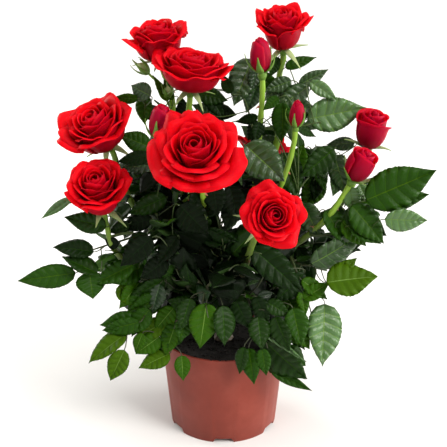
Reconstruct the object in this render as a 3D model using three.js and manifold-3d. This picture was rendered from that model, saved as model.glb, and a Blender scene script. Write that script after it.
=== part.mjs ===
// A patio rose in its plastic pot, about 41 cm tall, in millimetres with +Z up.
// The origin is the centre of the pot's flat underside, and -Y is the side that is looked at.
// A place on the plant is [azimuth, reach, height]: degrees from +X towards +Y, then distance
// from the pot's axis, then height above the ground. A direction is [azimuth, rise] in degrees.

import * as THREE from 'three';
import * as BufferGeometryUtils from 'three/addons/utils/BufferGeometryUtils.js';
import Module from 'manifold-3d';

const wasm = await Module();
wasm.setup();

// ---- driving dimensions ---------------------------------------------------------------

const gap = 0.4; // left between neighbours
const leafGap = 0.7; // left round a mass of foliage

const pot = {
  rimRadius: 60,
  footRadius: 51,
  height: 92,
  wall: 2,
  floorHeight: 4.5, // underside of the floor, inside the skirt
  dishRadius: 22, // flat dish in the middle of the floor, which stands on the ground
  dishSlope: 1.5,
  footChamfer: 1.2,
  lipChamfer: 0.6,
  notchCount: 6,
  notchStart: -90, // azimuth of the first one, at the front
  notchWidth: 20,
  notchHeight: 4.2,
  notchSlant: 2.5,
  drainCount: 6,
  drainStart: -60,
  drainRadius: 3.5,
  drainReach: 36,
};

const potSides = 28;
const cutterDepth = 4 * pot.wall; // enough to pass right through a wall of the pot

const compost = { top: 84, edgeDrop: 2, flatRadius: 16 };

const crown = { footRadius: 10, neckRadius: 6.2, height: 20, swell: 1.2, shoulder: 2, sides: 12 };

const caneRadius = { foot: 4.0, neck: 2.7 };
const stalkRadius = { foot: 3.0, neck: 2.4 };
const limbSides = 6;
const limbSteps = 7;
const neckLength = 13; // straight stretch of stem just under a head

// width and depth of each head, the place of its middle and the way its face looks
const heads = [
  { name: 'bloom_top_left', place: [153, 65, 371], width: 58, depth: 33, looks: [-140, 67] },
  { name: 'bloom_top_middle', place: [-161, 30, 354], width: 70, depth: 36, looks: [-54, 64] },
  { name: 'bloom_left', place: [-170, 113, 304], width: 65, depth: 40, looks: [-132, 48] },
  { name: 'bloom_left_low', place: [-151, 124, 262], width: 57, depth: 40, looks: [-99, 50] },
  { name: 'bloom_front', place: [-104, 93, 304], width: 79, depth: 44, looks: [-97, 40] },
  { name: 'bloom_front_right', place: [-70, 117, 254], width: 55, depth: 36, looks: [-77, 24] },
  { name: 'bloom_top_right', place: [21, 55, 385], width: 50, depth: 38, looks: [-76, 65] },
  { name: 'bloom_back_right', place: [65, 95, 245], width: 56, depth: 38, looks: [72, 46] },
  { name: 'bloom_back_left', place: [125, 100, 225], width: 60, depth: 38, looks: [118, 42] },
  { name: 'bud_top_right', place: [-9, 33, 365], width: 20, depth: 31, looks: [180, 86] },
  { name: 'bud_left', place: [-137, 73, 318], width: 20, depth: 31, looks: [-45, 82] },
  { name: 'bud_right_small', place: [-25, 70, 319], width: 16, depth: 24, looks: [0, 87] },
  { name: 'bud_far_right', place: [0, 133, 296], width: 31, depth: 37, looks: [-53, 76] },
  { name: 'bud_right', place: [-14, 125, 272], width: 29, depth: 32, looks: [-27, 64] },
];

// canes spring from the crown at their own azimuth, and each ends under one head
const canes = [
  { name: 'cane_left', springs: -175, head: 'bloom_left', through: [[-177, 94, 245]] },
  { name: 'cane_back_left', springs: 125, head: 'bloom_top_left', through: [[155, 50, 290]] },
  { name: 'cane_centre', springs: -115, head: 'bloom_top_middle', through: [[-170, 27, 290]] },
  { name: 'cane_back_right', springs: 62, head: 'bloom_top_right', through: [[18, 54, 290]] },
  { name: 'cane_right', springs: 5, head: 'bud_far_right', through: [[0, 108, 222]] },
  { name: 'cane_front', springs: -55, head: 'bloom_front_right', through: [[-70, 78, 220]] },
];
const caneStart = { reach: 1, sunk: 9 }; // inside the crown, below its top
const caneSpread = { reach: 21, rise: 34 }; // of a young cane, a little above the crown

// stalks fork from a cane, a fraction of the way up it
const stalks = [
  { name: 'stalk_left_low', cane: 'cane_left', fork: 0.2, head: 'bloom_left_low',
    through: [[-158, 76, 160], [-155, 112, 205]] },
  { name: 'stalk_left_bud', cane: 'cane_back_left', fork: 0.4, head: 'bud_left',
    through: [[-140, 56, 262]] },
  { name: 'stalk_front', cane: 'cane_centre', fork: 0.35, head: 'bloom_front',
    through: [[-112, 48, 250]] },
  { name: 'stalk_top_right_bud', cane: 'cane_back_right', fork: 0.38, head: 'bud_top_right',
    through: [[2, 33, 300]] },
  { name: 'stalk_right_small', cane: 'cane_back_right', fork: 0.3, head: 'bud_right_small',
    through: [[-22, 56, 250]] },
  { name: 'stalk_right_bud', cane: 'cane_right', fork: 0.36, head: 'bud_right',
    through: [[-15, 99, 222]] },
  { name: 'stalk_back_right', cane: 'cane_back_right', fork: 0.15, head: 'bloom_back_right',
    through: [[58, 60, 190]] },
  { name: 'stalk_back_left', cane: 'cane_back_left', fork: 0.15, head: 'bloom_back_left',
    through: [[130, 66, 180]] },
];

// Masses of foliage, each from its root on the stems to its furthest leaf tip. Pitch is how far
// the face of the mass is turned from looking up (0) to looking outwards (90), and thick is its
// thickness as a part of its width.
const masses = [
  // sprays that stand clear of the bush and draw its outline
  { name: 'leaves_far_left', root: [-142, 62, 208], tip: [-162, 196, 174], width: 56, pitch: 30 },
  { name: 'leaves_left_upper', root: [-162, 70, 210], tip: [-160, 151, 234], width: 34, pitch: 15 },
  { name: 'leaves_left_low', root: [-138, 56, 152], tip: [-147, 144, 105], width: 52, pitch: 45 },
  { name: 'leaves_left_skirt', root: [-124, 58, 142], tip: [-133, 107, 86], width: 42, pitch: 55 },
  { name: 'leaves_front_low', root: [-102, 62, 182], tip: [-107, 100, 82], width: 48, pitch: 70 },
  { name: 'leaves_right_drop', root: [-70, 56, 156], tip: [-58, 102, 79], width: 62, pitch: 65 },
  { name: 'leaves_right_skirt', root: [-56, 50, 124], tip: [-39, 107, 61], width: 32, pitch: 60 },
  { name: 'leaves_right_hanging', root: [-32, 66, 186], tip: [-39, 122, 92], width: 50, pitch: 65 },
  { name: 'leaves_right_middle', root: [-28, 62, 168], tip: [-20, 148, 182], width: 54, pitch: 35 },
  { name: 'leaves_far_right', root: [-8, 74, 202], tip: [-11, 193, 268], width: 50, pitch: 35 },
  { name: 'leaves_far_right_low', root: [-22, 72, 192], tip: [-15, 190, 221], width: 44, pitch: 30 },
  { name: 'leaves_right_high', root: [-6, 44, 286], tip: [0, 130, 313], width: 46, pitch: 40 },
  { name: 'leaves_top_right', root: [20, 40, 310], tip: [10, 110, 337], width: 42, pitch: 25 },
  { name: 'leaves_top_middle', root: [16, 28, 276], tip: [66, 20, 356], width: 46, pitch: 75 },
  { name: 'leaves_top_left', root: [158, 38, 284], tip: [178, 98, 332], width: 42, pitch: 40 },
  { name: 'leaves_left_high', root: [-166, 34, 232], tip: [-172, 94, 293], width: 54, pitch: 50 },
  // the body of the bush, seen between and under the blooms
  { name: 'leaves_left_shoulder', root: [-146, 30, 186], tip: [-157, 100, 262], width: 78, pitch: 60 },
  { name: 'leaves_front_quilt', root: [-50, 34, 238], tip: [-62, 84, 292], width: 60, pitch: 70 },
  { name: 'leaves_centre', root: [-88, 26, 150], tip: [-98, 58, 262],
    width: 76, pitch: 78, thick: 0.36 },
  { name: 'leaves_right_heart', root: [-34, 36, 190], tip: [-16, 94, 284], width: 76, pitch: 60 },
  { name: 'leaves_front_left', root: [-124, 36, 138], tip: [-128, 94, 226], width: 84, pitch: 62 },
  { name: 'leaves_front_right', root: [-62, 34, 138], tip: [-58, 98, 212], width: 84, pitch: 62 },
  { name: 'leaves_right_shoulder', root: [6, 46, 205], tip: [2, 120, 292], width: 62, pitch: 55 },
  // the far side
  { name: 'leaves_back_left_low', root: [142, 22, 142], tip: [152, 166, 134],
    width: 100, pitch: 38, thick: 0.33 },
  { name: 'leaves_back_left_high', root: [160, 34, 205], tip: [150, 134, 262], width: 92, pitch: 45 },
  { name: 'leaves_back_low', root: [98, 24, 136], tip: [95, 160, 122],
    width: 104, pitch: 38, thick: 0.33 },
  { name: 'leaves_back_high', root: [95, 26, 205], tip: [95, 128, 276], width: 96, pitch: 50 },
  { name: 'leaves_back_right_low', root: [44, 24, 140], tip: [38, 170, 146],
    width: 100, pitch: 38, thick: 0.33 },
  { name: 'leaves_back_right_high', root: [34, 36, 212], tip: [36, 134, 282], width: 90, pitch: 45 },
];
const massThickness = 0.4; // as a part of its width, where a mass doesn't say
const massUnevenness = 0.11;
const massDroop = 0.07; // how far the middle bows up from the line root to tip, of its length

// ---- materials ------------------------------------------------------------------------

const finishes = {
  plastic: { color: 0xa0503f, roughness: 0.5, metalness: 0 },
  compost: { color: 0x17110c, roughness: 1, metalness: 0 },
  wood: { color: 0x5a4a2c, roughness: 0.85, metalness: 0 },
  stem: { color: 0x66822a, roughness: 0.5, metalness: 0 },
  leaf: { color: 0x2a4b14, roughness: 0.45, metalness: 0 },
  petal: { color: 0xd8081c, roughness: 0.6, metalness: 0 },
  budPetal: { color: 0xa80a26, roughness: 0.6, metalness: 0 },
};

function finish(key) {
  return new THREE.MeshStandardMaterial({ ...finishes[key], flatShading: true });
}

// ---- places and directions ------------------------------------------------------------

const up = new THREE.Vector3(0, 0, 1);

function spot([azimuth, reach, height]) {
  const a = THREE.MathUtils.degToRad(azimuth);
  return new THREE.Vector3(reach * Math.cos(a), reach * Math.sin(a), height);
}

function direction([azimuth, rise]) {
  const r = THREE.MathUtils.degToRad(rise);
  return spot([azimuth, Math.cos(r), Math.sin(r)]);
}

function turnFromY(towards) {
  return new THREE.Quaternion().setFromUnitVectors(new THREE.Vector3(0, 1, 0), towards);
}

// ---- solids ---------------------------------------------------------------------------

function solidOf(geometry) {
  const bare = geometry.clone();
  bare.deleteAttribute('normal');
  bare.deleteAttribute('uv');
  const merged = BufferGeometryUtils.mergeVertices(bare, 1e-4);
  const corners = merged.index.array;
  const kept = [];
  for (let i = 0; i < corners.length; i += 3) {
    const [a, b, c] = corners.slice(i, i + 3);
    if (a !== b && b !== c && c !== a) kept.push(a, b, c); // drops the flat triangles at a pole
  }
  const mesh = new wasm.Mesh({
    numProp: 3,
    vertProperties: new Float32Array(merged.attributes.position.array),
    triVerts: new Uint32Array(kept),
  });
  return new wasm.Manifold(mesh);
}

function geometryOf(solid) {
  const mesh = solid.getMesh();
  const geometry = new THREE.BufferGeometry();
  geometry.setAttribute('position', new THREE.BufferAttribute(new Float32Array(mesh.vertProperties), 3));
  geometry.setIndex(new THREE.BufferAttribute(new Uint32Array(mesh.triVerts), 1));
  geometry.computeVertexNormals();
  return geometry;
}

// each point of a geometry is handed to move(), which changes it in place
function reshape(geometry, move) {
  const position = geometry.attributes.position;
  const point = new THREE.Vector3();
  for (let i = 0; i < position.count; i += 1) {
    point.fromBufferAttribute(position, i);
    move(point);
    position.setXYZ(i, point.x, point.y, point.z);
  }
  return geometry;
}

function turned(profile, segments) {
  const points = profile.map(([radius, height]) => new THREE.Vector2(radius, height));
  return new THREE.LatheGeometry(points, segments).rotateX(Math.PI / 2);
}

// ---- pot, compost and crown -----------------------------------------------------------

function innerRadiusAt(height) {
  const flare = (pot.rimRadius - pot.footRadius) / pot.height;
  return pot.footRadius + flare * height - pot.wall;
}

function makePot() {
  const { rimRadius, footRadius, height, wall, floorHeight, dishRadius, dishSlope } = pot;
  const floorTop = floorHeight + wall;
  const shell = turned([
    [0, 0],
    [dishRadius, 0],
    [dishRadius + dishSlope, floorHeight],
    [innerRadiusAt(floorHeight), floorHeight],
    [innerRadiusAt(0), 0],
    [footRadius - pot.footChamfer / 2, 0],
    [footRadius, pot.footChamfer],
    [rimRadius, height - pot.lipChamfer],
    [rimRadius - pot.lipChamfer, height],
    [innerRadiusAt(height), height],
    [innerRadiusAt(floorTop), floorTop],
    [dishRadius, floorTop],
    [dishRadius - dishSlope, wall],
    [0, wall],
  ], potSides);
  let solid = solidOf(shell);
  for (let i = 0; i < pot.notchCount; i += 1) {
    solid = solid.subtract(notchCutter(pot.notchStart + (i * 360) / pot.notchCount));
  }
  for (let i = 0; i < pot.drainCount; i += 1) {
    solid = solid.subtract(drainCutter(pot.drainStart + (i * 360) / pot.drainCount));
  }
  return solid;
}

// a slot with slanted ends through the skirt's foot
function notchCutter(azimuth) {
  const half = pot.notchWidth / 2;
  const outline = new THREE.Shape([
    new THREE.Vector2(-half - pot.notchSlant, -pot.notchHeight),
    new THREE.Vector2(half + pot.notchSlant, -pot.notchHeight),
    new THREE.Vector2(half - pot.notchSlant, pot.notchHeight),
    new THREE.Vector2(-half + pot.notchSlant, pot.notchHeight),
  ]);
  const radial = direction([azimuth, 0]);
  const tangent = new THREE.Vector3().crossVectors(up, radial);
  const start = radial.clone().multiplyScalar(pot.footRadius - cutterDepth / 2);
  const cutter = new THREE.ExtrudeGeometry(outline, { depth: cutterDepth, bevelEnabled: false });
  cutter.applyMatrix4(new THREE.Matrix4().makeBasis(tangent, up, radial).setPosition(start));
  return solidOf(cutter);
}

function drainCutter(azimuth) {
  const hole = new THREE.CylinderGeometry(pot.drainRadius, pot.drainRadius, cutterDepth, 8);
  const middle = spot([azimuth, pot.drainReach, pot.floorHeight + pot.wall / 2]);
  hole.rotateX(Math.PI / 2).translate(middle.x, middle.y, middle.z);
  return solidOf(hole);
}

// the compost fills the pot down to its floor, dish included
function makeCompost() {
  const bed = pot.wall + gap;
  const shoulder = pot.floorHeight + pot.wall + gap;
  const edge = compost.top - compost.edgeDrop;
  return solidOf(turned([
    [0, bed],
    [pot.dishRadius - pot.dishSlope - 2 * gap, bed],
    [pot.dishRadius - gap, shoulder],
    [innerRadiusAt(shoulder) - gap, shoulder],
    [innerRadiusAt(edge) - gap, edge],
    [compost.flatRadius, compost.top],
    [0, compost.top],
  ], potSides));
}

// the filled pot, a little larger all over, that hanging leaves keep clear of
function makePotEnvelope() {
  const { rimRadius, footRadius, height } = pot;
  return solidOf(turned([
    [0, -gap],
    [footRadius + gap, -gap],
    [rimRadius + gap, height + gap],
    [innerRadiusAt(height) - gap, height + gap],
    [innerRadiusAt(compost.top) - gap, compost.top + gap],
    [0, compost.top + gap],
  ], potSides));
}

// the short woody stock, flared at its flat foot, that every cane springs from
function makeCrown(grow = 0) {
  const { footRadius, neckRadius, height, swell, shoulder } = crown;
  const foot = compost.top + gap;
  return solidOf(turned([
    [0, foot - grow],
    [footRadius + grow, foot - grow],
    [neckRadius + swell + grow, foot + 0.25 * height],
    [neckRadius + grow, foot + 0.55 * height],
    [neckRadius + swell + grow, foot + 0.8 * height],
    [neckRadius - shoulder + grow, foot + height + grow],
    [0, foot + height + grow],
  ], crown.sides));
}

// ---- limbs ----------------------------------------------------------------------------

// A limb is a closed cylinder bent along a curve, tapering evenly from its foot to its neck.
function makeLimb({ curve, foot, neck }, grow = 0) {
  const frames = curve.computeFrenetFrames(limbSteps);
  const rod = new THREE.CylinderGeometry(1, 1, 1, limbSides, limbSteps);
  return solidOf(reshape(rod, (point) => {
    const along = point.y + 0.5;
    const step = Math.round(along * limbSteps);
    const overrun = (step === limbSteps ? grow : 0) - (step === 0 ? grow : 0);
    const radius = THREE.MathUtils.lerp(foot, neck, along) + grow;
    const { x, z } = point;
    point.copy(curve.getPointAt(step / limbSteps));
    point.addScaledVector(frames.tangents[step], overrun);
    point.addScaledVector(frames.normals[step], -x * radius);
    point.addScaledVector(frames.binormals[step], z * radius);
  }));
}

function headBase(head) {
  const face = direction(head.looks);
  return spot(head.place).addScaledVector(face, -head.depth / 2);
}

function limbCurve(start, through, headName) {
  const head = heads.find(({ name }) => name === headName);
  const face = direction(head.looks);
  const end = headBase(head).addScaledVector(face, -gap);
  const neck = end.clone().addScaledVector(face, -neckLength);
  return new THREE.CatmullRomCurve3([start, ...through.map(spot), neck, end], false, 'centripetal');
}

function makeLimbs() {
  const limbs = new Map();
  const crownTop = compost.top + crown.height;
  for (const { name, springs, head, through } of canes) {
    const start = spot([springs, caneStart.reach, crownTop - caneStart.sunk]);
    const young = [springs, caneSpread.reach, crownTop + caneSpread.rise];
    const curve = limbCurve(start, [young, ...through], head);
    limbs.set(name, { curve, foot: caneRadius.foot, neck: caneRadius.neck });
  }
  for (const { name, cane, fork, head, through } of stalks) {
    const start = limbs.get(cane).curve.getPointAt(fork);
    const curve = limbCurve(start, through, head);
    limbs.set(name, { curve, foot: stalkRadius.foot, neck: stalkRadius.neck });
  }
  return limbs;
}

// ---- heads ----------------------------------------------------------------------------

// outlines from the base of a head to its tip, as parts of its radius and its depth
const bloomOutline = [[0, 0], [0.3, 0.04], [0.74, 0.34], [1, 0.62], [0.94, 0.84], [0.5, 0.97], [0, 1]];
const budOutline = [[0, 0], [0.5, 0.06], [0.94, 0.3], [1, 0.5], [0.72, 0.82], [0, 1]];

function makeHead(head, grow = 0) {
  const open = head.name.startsWith('bloom');
  const outline = open ? bloomOutline : budOutline;
  const radius = head.width / 2 + grow;
  const depth = head.depth + 2 * grow;
  const shape = new THREE.LatheGeometry(
    outline.map(([r, h]) => new THREE.Vector2(r * radius, h * depth - head.depth / 2 - grow)),
    open ? 12 : 8,
  );
  const lobes = open ? 5 : 3;
  const phase = head.place[0];
  reshape(shape, (point) => {
    const around = Math.atan2(point.z, point.x);
    const swell = 1 + (open ? 0.05 : 0.02) * Math.sin(lobes * around + phase);
    point.x *= swell;
    point.z *= swell;
  });
  const middle = spot(head.place);
  shape.applyQuaternion(turnFromY(direction(head.looks)));
  shape.translate(middle.x, middle.y, middle.z);
  return solidOf(shape);
}

// ---- foliage --------------------------------------------------------------------------

// A mass is an uneven pad: a sphere drawn out from root to tip, thin across its face, bowed upwards.
function makeMass({ root, tip, width, pitch, thick = massThickness }, index, grow = 0) {
  const from = spot(root);
  const to = spot(tip);
  const length = from.distanceTo(to);
  const along = to.clone().sub(from).normalize();
  const outward = direction([(root[0] + tip[0]) / 2, 0]);
  const tilt = THREE.MathUtils.degToRad(pitch);
  const face = outward.multiplyScalar(Math.sin(tilt)).addScaledVector(up, Math.cos(tilt));
  face.addScaledVector(along, -face.dot(along)).normalize();
  const across = new THREE.Vector3().crossVectors(along, face);
  const middle = from.clone().lerp(to, 0.5);
  const half = {
    length: length / 2 + grow,
    width: width / 2 + grow,
    thickness: (width * thick) / 2 + grow,
  };
  const pad = new THREE.SphereGeometry(1, 8, 6);
  return solidOf(reshape(pad, (point) => {
    const around = Math.atan2(point.z, point.x);
    const lump = massUnevenness * (Math.sin(3 * around + 2 * index) + Math.sin(4 * point.y + index));
    const bow = massDroop * length * (1 - point.y ** 2);
    const { x, y, z } = point;
    point.copy(middle).addScaledVector(along, y * half.length);
    point.addScaledVector(across, x * half.width * (1 + lump));
    point.addScaledVector(face, z * half.thickness * (1 + lump) + bow);
  }));
}

// ---- assembly -------------------------------------------------------------------------

const bush = new THREE.Group();

function add(name, key, solid) {
  const mesh = new THREE.Mesh(geometryOf(solid), finish(key));
  mesh.name = name;
  bush.add(mesh);
}

// solids a little larger than what is already placed, which every later piece is cut by
const placed = [];

function boxesMeet(a, b) {
  return [0, 1, 2].every((k) => Math.max(a.min[k], b.min[k]) <= Math.min(a.max[k], b.max[k]));
}

function cutRound(solid) {
  let rest = solid;
  for (const grown of placed) {
    if (boxesMeet(grown.boundingBox(), rest.boundingBox())) rest = rest.subtract(grown);
  }
  return rest.decompose().reduce((best, piece) => (piece.volume() > best.volume() ? piece : best));
}

add('pot', 'plastic', makePot());
add('compost', 'compost', makeCompost());
add('crown', 'wood', makeCrown());
placed.push(makePotEnvelope(), makeCrown(gap));

for (const [name, limb] of makeLimbs()) {
  add(name, 'stem', cutRound(makeLimb(limb)));
  placed.push(makeLimb(limb, gap));
}
for (const head of heads) {
  add(head.name, head.name.startsWith('bloom') ? 'petal' : 'budPetal', cutRound(makeHead(head)));
  placed.push(makeHead(head, gap));
}
masses.forEach((mass, index) => {
  add(mass.name, 'leaf', cutRound(makeMass(mass, index)));
  placed.push(makeMass(mass, index, leafGap));
});

export default bush;
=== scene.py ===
import math

import bmesh
import bpy
import numpy as np
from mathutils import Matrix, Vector, noise


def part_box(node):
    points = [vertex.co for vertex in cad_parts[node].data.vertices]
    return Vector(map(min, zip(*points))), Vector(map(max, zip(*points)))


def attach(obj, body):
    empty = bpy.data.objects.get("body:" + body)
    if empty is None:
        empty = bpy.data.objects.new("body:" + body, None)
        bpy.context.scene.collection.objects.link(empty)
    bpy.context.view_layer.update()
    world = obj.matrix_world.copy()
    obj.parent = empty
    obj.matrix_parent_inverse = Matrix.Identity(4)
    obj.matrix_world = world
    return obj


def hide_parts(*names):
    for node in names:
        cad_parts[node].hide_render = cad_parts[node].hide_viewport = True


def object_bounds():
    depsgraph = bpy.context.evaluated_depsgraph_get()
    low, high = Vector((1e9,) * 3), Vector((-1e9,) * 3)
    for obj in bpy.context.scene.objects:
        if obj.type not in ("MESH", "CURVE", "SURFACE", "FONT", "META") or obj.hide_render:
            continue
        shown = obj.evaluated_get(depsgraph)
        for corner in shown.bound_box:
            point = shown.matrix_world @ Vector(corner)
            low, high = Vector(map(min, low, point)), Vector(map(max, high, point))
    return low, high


# A patio rose in its plastic pot, in metres. Places on the plant are worked out from the CAD frame.
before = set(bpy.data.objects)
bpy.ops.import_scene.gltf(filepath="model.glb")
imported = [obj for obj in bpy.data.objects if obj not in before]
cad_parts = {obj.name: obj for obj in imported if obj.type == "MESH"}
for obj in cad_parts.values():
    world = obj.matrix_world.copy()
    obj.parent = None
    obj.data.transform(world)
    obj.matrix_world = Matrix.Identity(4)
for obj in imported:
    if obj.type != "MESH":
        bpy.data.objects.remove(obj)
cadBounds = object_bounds()
cadNodes = sorted(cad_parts)
limbNames = [n for n in cadNodes if n.startswith(("cane_", "stalk_"))]
bloomNames = [n for n in cadNodes if n.startswith("bloom_")]
budNames = [n for n in cadNodes if n.startswith("bud_")]
massNames = [n for n in cadNodes if n.startswith("leaves_")]
zUp = np.array([0.0, 0.0, 1.0])


def unit(vector):
    return vector / np.linalg.norm(vector)


# vector, turned as little as it takes to be square to axis
def squared(vector, axis):
    return unit(vector - np.dot(vector, axis) * axis)


def turnAbout(vector, axis, angle):
    c, s = math.cos(angle), math.sin(angle)
    return vector * c + np.cross(axis, vector) * s + axis * np.dot(axis, vector) * (1 - c)


# the direction at an azimuth and a rise in degrees
def polarDirection(azimuth, rise):
    a, r = math.radians(azimuth), math.radians(rise)
    return np.array([math.cos(a) * math.cos(r), math.sin(a) * math.cos(r), math.sin(r)])


def onCircle(turn, reach, height):
    return np.array([reach * math.cos(turn), reach * math.sin(turn), height])


def nodePoints(name):
    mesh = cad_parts[name].data
    points = np.empty(len(mesh.vertices) * 3)
    mesh.vertices.foreach_get("co", points)
    return points.reshape(-1, 3)


def nodeTriangles(name):
    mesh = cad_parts[name].data
    mesh.calc_loop_triangles()
    corners = np.empty(len(mesh.loop_triangles) * 3, int)
    mesh.loop_triangles.foreach_get("vertices", corners)
    return nodePoints(name)[corners.reshape(-1, 3)]


def centroid(name):
    a, b, c = nodeTriangles(name).transpose(1, 0, 2)
    volume = np.einsum("ij,ij->i", a, np.cross(b, c))
    return ((a + b + c) * volume[:, None]).sum(0) / (4 * volume.sum())


def newHeap():
    return {"points": [], "corners": [], "sizes": [], "tones": [], "uvs": [], "count": 0}


# adds points and groups of faces; all faces of a group have as many corners, and each group has one
# tone or a tone for each face
def pile(heap, points, groups, tones=(0, 0), uvs=None):
    for group, tone in zip(groups, tones):
        group = np.asarray(group)
        heap["corners"].append((group + heap["count"]).ravel())
        heap["sizes"].append(np.full(len(group), group.shape[1]))
        heap["tones"].append(np.full(len(group), tone))
        if uvs is not None:
            heap["uvs"].append(uvs[group.ravel()])
    heap["points"].append(points)
    heap["count"] += len(points)


# gives a piece its materials and body, and hides the CAD nodes that it stands for
def settle(piece, materials, slot, *replaced):
    for material in materials:
        piece.data.materials.append(material)
    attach(piece, "root")
    if replaced:
        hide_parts(*replaced)


def addPiece(name, heap, materials, slot, *replaced):
    mesh = bpy.data.meshes.new(name)
    points, corners, sizes, tones = (
        np.concatenate(heap[key]) for key in ("points", "corners", "sizes", "tones"))
    mesh.vertices.add(len(points))
    mesh.loops.add(len(corners))
    mesh.polygons.add(len(sizes))
    for part, key, values, kind in (
            (mesh.vertices, "co", points, np.float32), (mesh.loops, "vertex_index", corners, np.int32),
            (mesh.polygons, "loop_start", np.cumsum(sizes) - sizes, np.int32),
            (mesh.polygons, "material_index", tones, np.int32),
            (mesh.polygons, "use_smooth", np.ones(len(sizes)), bool)):
        part.foreach_set(key, values.astype(kind).ravel())
    if heap["uvs"]:
        layer = mesh.uv_layers.new(name="blade")
        layer.uv.foreach_set("vector", np.concatenate(heap["uvs"]).astype(np.float32).ravel())
    mesh.update(calc_edges=True)
    piece = bpy.data.objects.new(name, mesh)
    bpy.context.scene.collection.objects.link(piece)
    settle(piece, materials, slot, *replaced)


def deselectAll():
    bpy.ops.object.select_all(action="DESELECT")


def activate(piece):
    deselectAll()
    piece.select_set(True)
    bpy.context.view_layer.objects.active = piece


def applyModifiers(piece):
    activate(piece)
    for modifier in list(piece.modifiers):
        bpy.ops.object.modifier_apply(modifier=modifier.name)


def applyPlace(piece):
    activate(piece)
    bpy.ops.object.transform_apply(location=True, rotation=True, scale=True)


# names the shape just added, brings its origin to zero and opens it for modelling
def openNew(name):
    piece = bpy.context.object
    piece.name = piece.data.name = name
    applyPlace(piece)
    bpy.ops.object.mode_set(mode="EDIT")
    return piece


def resizeSelected(share, height):
    bpy.ops.transform.resize(value=(share, share, 1), center_override=(0, 0, height))


def extrudeUp(step):
    bpy.ops.mesh.extrude_region_move(TRANSFORM_OT_translate={"value": (0, 0, step)})


# in edit mode, selects the faces for which wanted(face) is true
def selectFaces(wanted):
    mesh = bpy.context.edit_object.data
    work = bmesh.from_edit_mesh(mesh)
    bpy.ops.mesh.select_all(action="DESELECT")
    for face in work.faces:
        if wanted(face):
            face.select_set(True)
    bmesh.update_edit_mesh(mesh)


# adds a tube along path, with a point to close each end
def pileTube(heap, path, radii, sides, tone=0, withUvs=False):
    steps = len(path)
    tangents = np.gradient(path, axis=0)
    tangents /= np.linalg.norm(tangents, axis=1)[:, None]
    side = squared(np.array([0.31, 0.95, 0.05]), tangents[0])
    around = np.linspace(0, 2 * math.pi, sides, endpoint=False)
    rings = np.empty((steps, sides, 3))
    for i in range(steps):
        side = squared(side, tangents[i])
        other = np.cross(tangents[i], side)
        reach = np.broadcast_to(radii[i], sides)[:, None]
        rings[i] = path[i] + reach * (np.cos(around)[:, None] * side + np.sin(around)[:, None] * other)
    index = np.arange(steps * sides).reshape(steps, sides)
    after = np.roll(index, -1, axis=1)
    quads = np.stack([index[:-1], after[:-1], after[1:], index[1:]], -1).reshape(-1, 4)
    points = np.concatenate([rings.reshape(-1, 3), path[:1], path[-1:]])
    first, last = steps * sides, steps * sides + 1
    ends = [[first, b, a] for a, b in zip(index[0], after[0])]
    ends += [[last, a, b] for a, b in zip(index[-1], after[-1])]
    pile(heap, points, [quads, ends], (tone, tone), np.zeros((len(points), 2)) if withUvs else None)


# how far along a path each of its points is
def runAlong(path):
    return np.concatenate([[0], np.cumsum(np.linalg.norm(np.diff(path, axis=0), axis=1))])


# points made an even, rounded line, with its ends kept
def smoothPath(points, spacing):
    points = np.asarray(points, float)
    along = runAlong(points)
    count = max(4, int(round(along[-1] / spacing)) + 1)
    even = np.linspace(0, along[-1], count)
    path = np.stack([np.interp(even, along, points[:, k]) for k in range(3)], 1)
    for _ in range(3):
        path[1:-1] = 0.25 * path[:-2] + 0.5 * path[1:-1] + 0.25 * path[2:]
    return path


def bezier(a, b, c, d, t):
    return (1 - t) ** 3 * a + 3 * (1 - t) ** 2 * t * b + 3 * (1 - t) * t ** 2 * c + t ** 3 * d


def newMaterial(name, colour, roughness, **sockets):
    material = bpy.data.materials.new(name)
    material.use_nodes = True
    shader = material.node_tree.nodes["Principled BSDF"]
    shader.inputs["Base Color"].default_value = (*colour, 1)
    shader.inputs["Roughness"].default_value = roughness
    for socket, value in sockets.items():
        shader.inputs[socket.replace("_", " ")].default_value = value
    return material


# a new node of a material or the world; each input is a value or a socket to link to
def addNode(material, kind, settings=None, **inputs):
    node = material.node_tree.nodes.new(kind)
    for key, value in (settings or {}).items():
        setattr(node, key, value)
    for key, value in inputs.items():
        socket = node.inputs[key.replace("_", " ")]
        if isinstance(value, bpy.types.NodeSocket):
            material.node_tree.links.new(value, socket)
        else:
            socket.default_value = value
    return node


# value * factor + added
def scaledSum(material, value, factor, added):
    node = addNode(material, "ShaderNodeMath", {"operation": "MULTIPLY_ADD"})
    material.node_tree.links.new(value, node.inputs[0])
    node.inputs[1].default_value = factor
    material.node_tree.links.new(added, node.inputs[2])
    return node.outputs[0]


def objectPlace(material, scale=(1, 1, 1)):
    place = addNode(material, "ShaderNodeTexCoord")
    return addNode(material, "ShaderNodeMapping", Vector=place.outputs["Object"], Scale=scale).outputs[0]


def noiseOf(material, place, scale, detail, roughness=0.55):
    node = addNode(material, "ShaderNodeTexNoise", Vector=place, Scale=scale, Detail=detail,
                   Roughness=roughness)
    return node.outputs["Fac"]


def ramp(material, factor, stops):
    node = addNode(material, "ShaderNodeValToRGB", Fac=factor)
    band = node.color_ramp
    while len(band.elements) < len(stops):
        band.elements.new(0.5)
    for element, (place, colour) in zip(band.elements, stops):
        element.position = place
        element.color = (*colour, 1)
    return node.outputs["Color"]


def feed(material, socket, output):
    material.node_tree.links.new(output, material.node_tree.nodes["Principled BSDF"].inputs[socket])


def feedBump(material, height, strength, distance):
    bump = addNode(material, "ShaderNodeBump", Height=height, Strength=strength, Distance=distance)
    feed(material, "Normal", bump.outputs["Normal"])


def feedRange(material, socket, factor, low, high):
    spread = addNode(material, "ShaderNodeMapRange", Value=factor, To_Min=low, To_Max=high)
    feed(material, socket, spread.outputs["Result"])


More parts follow.
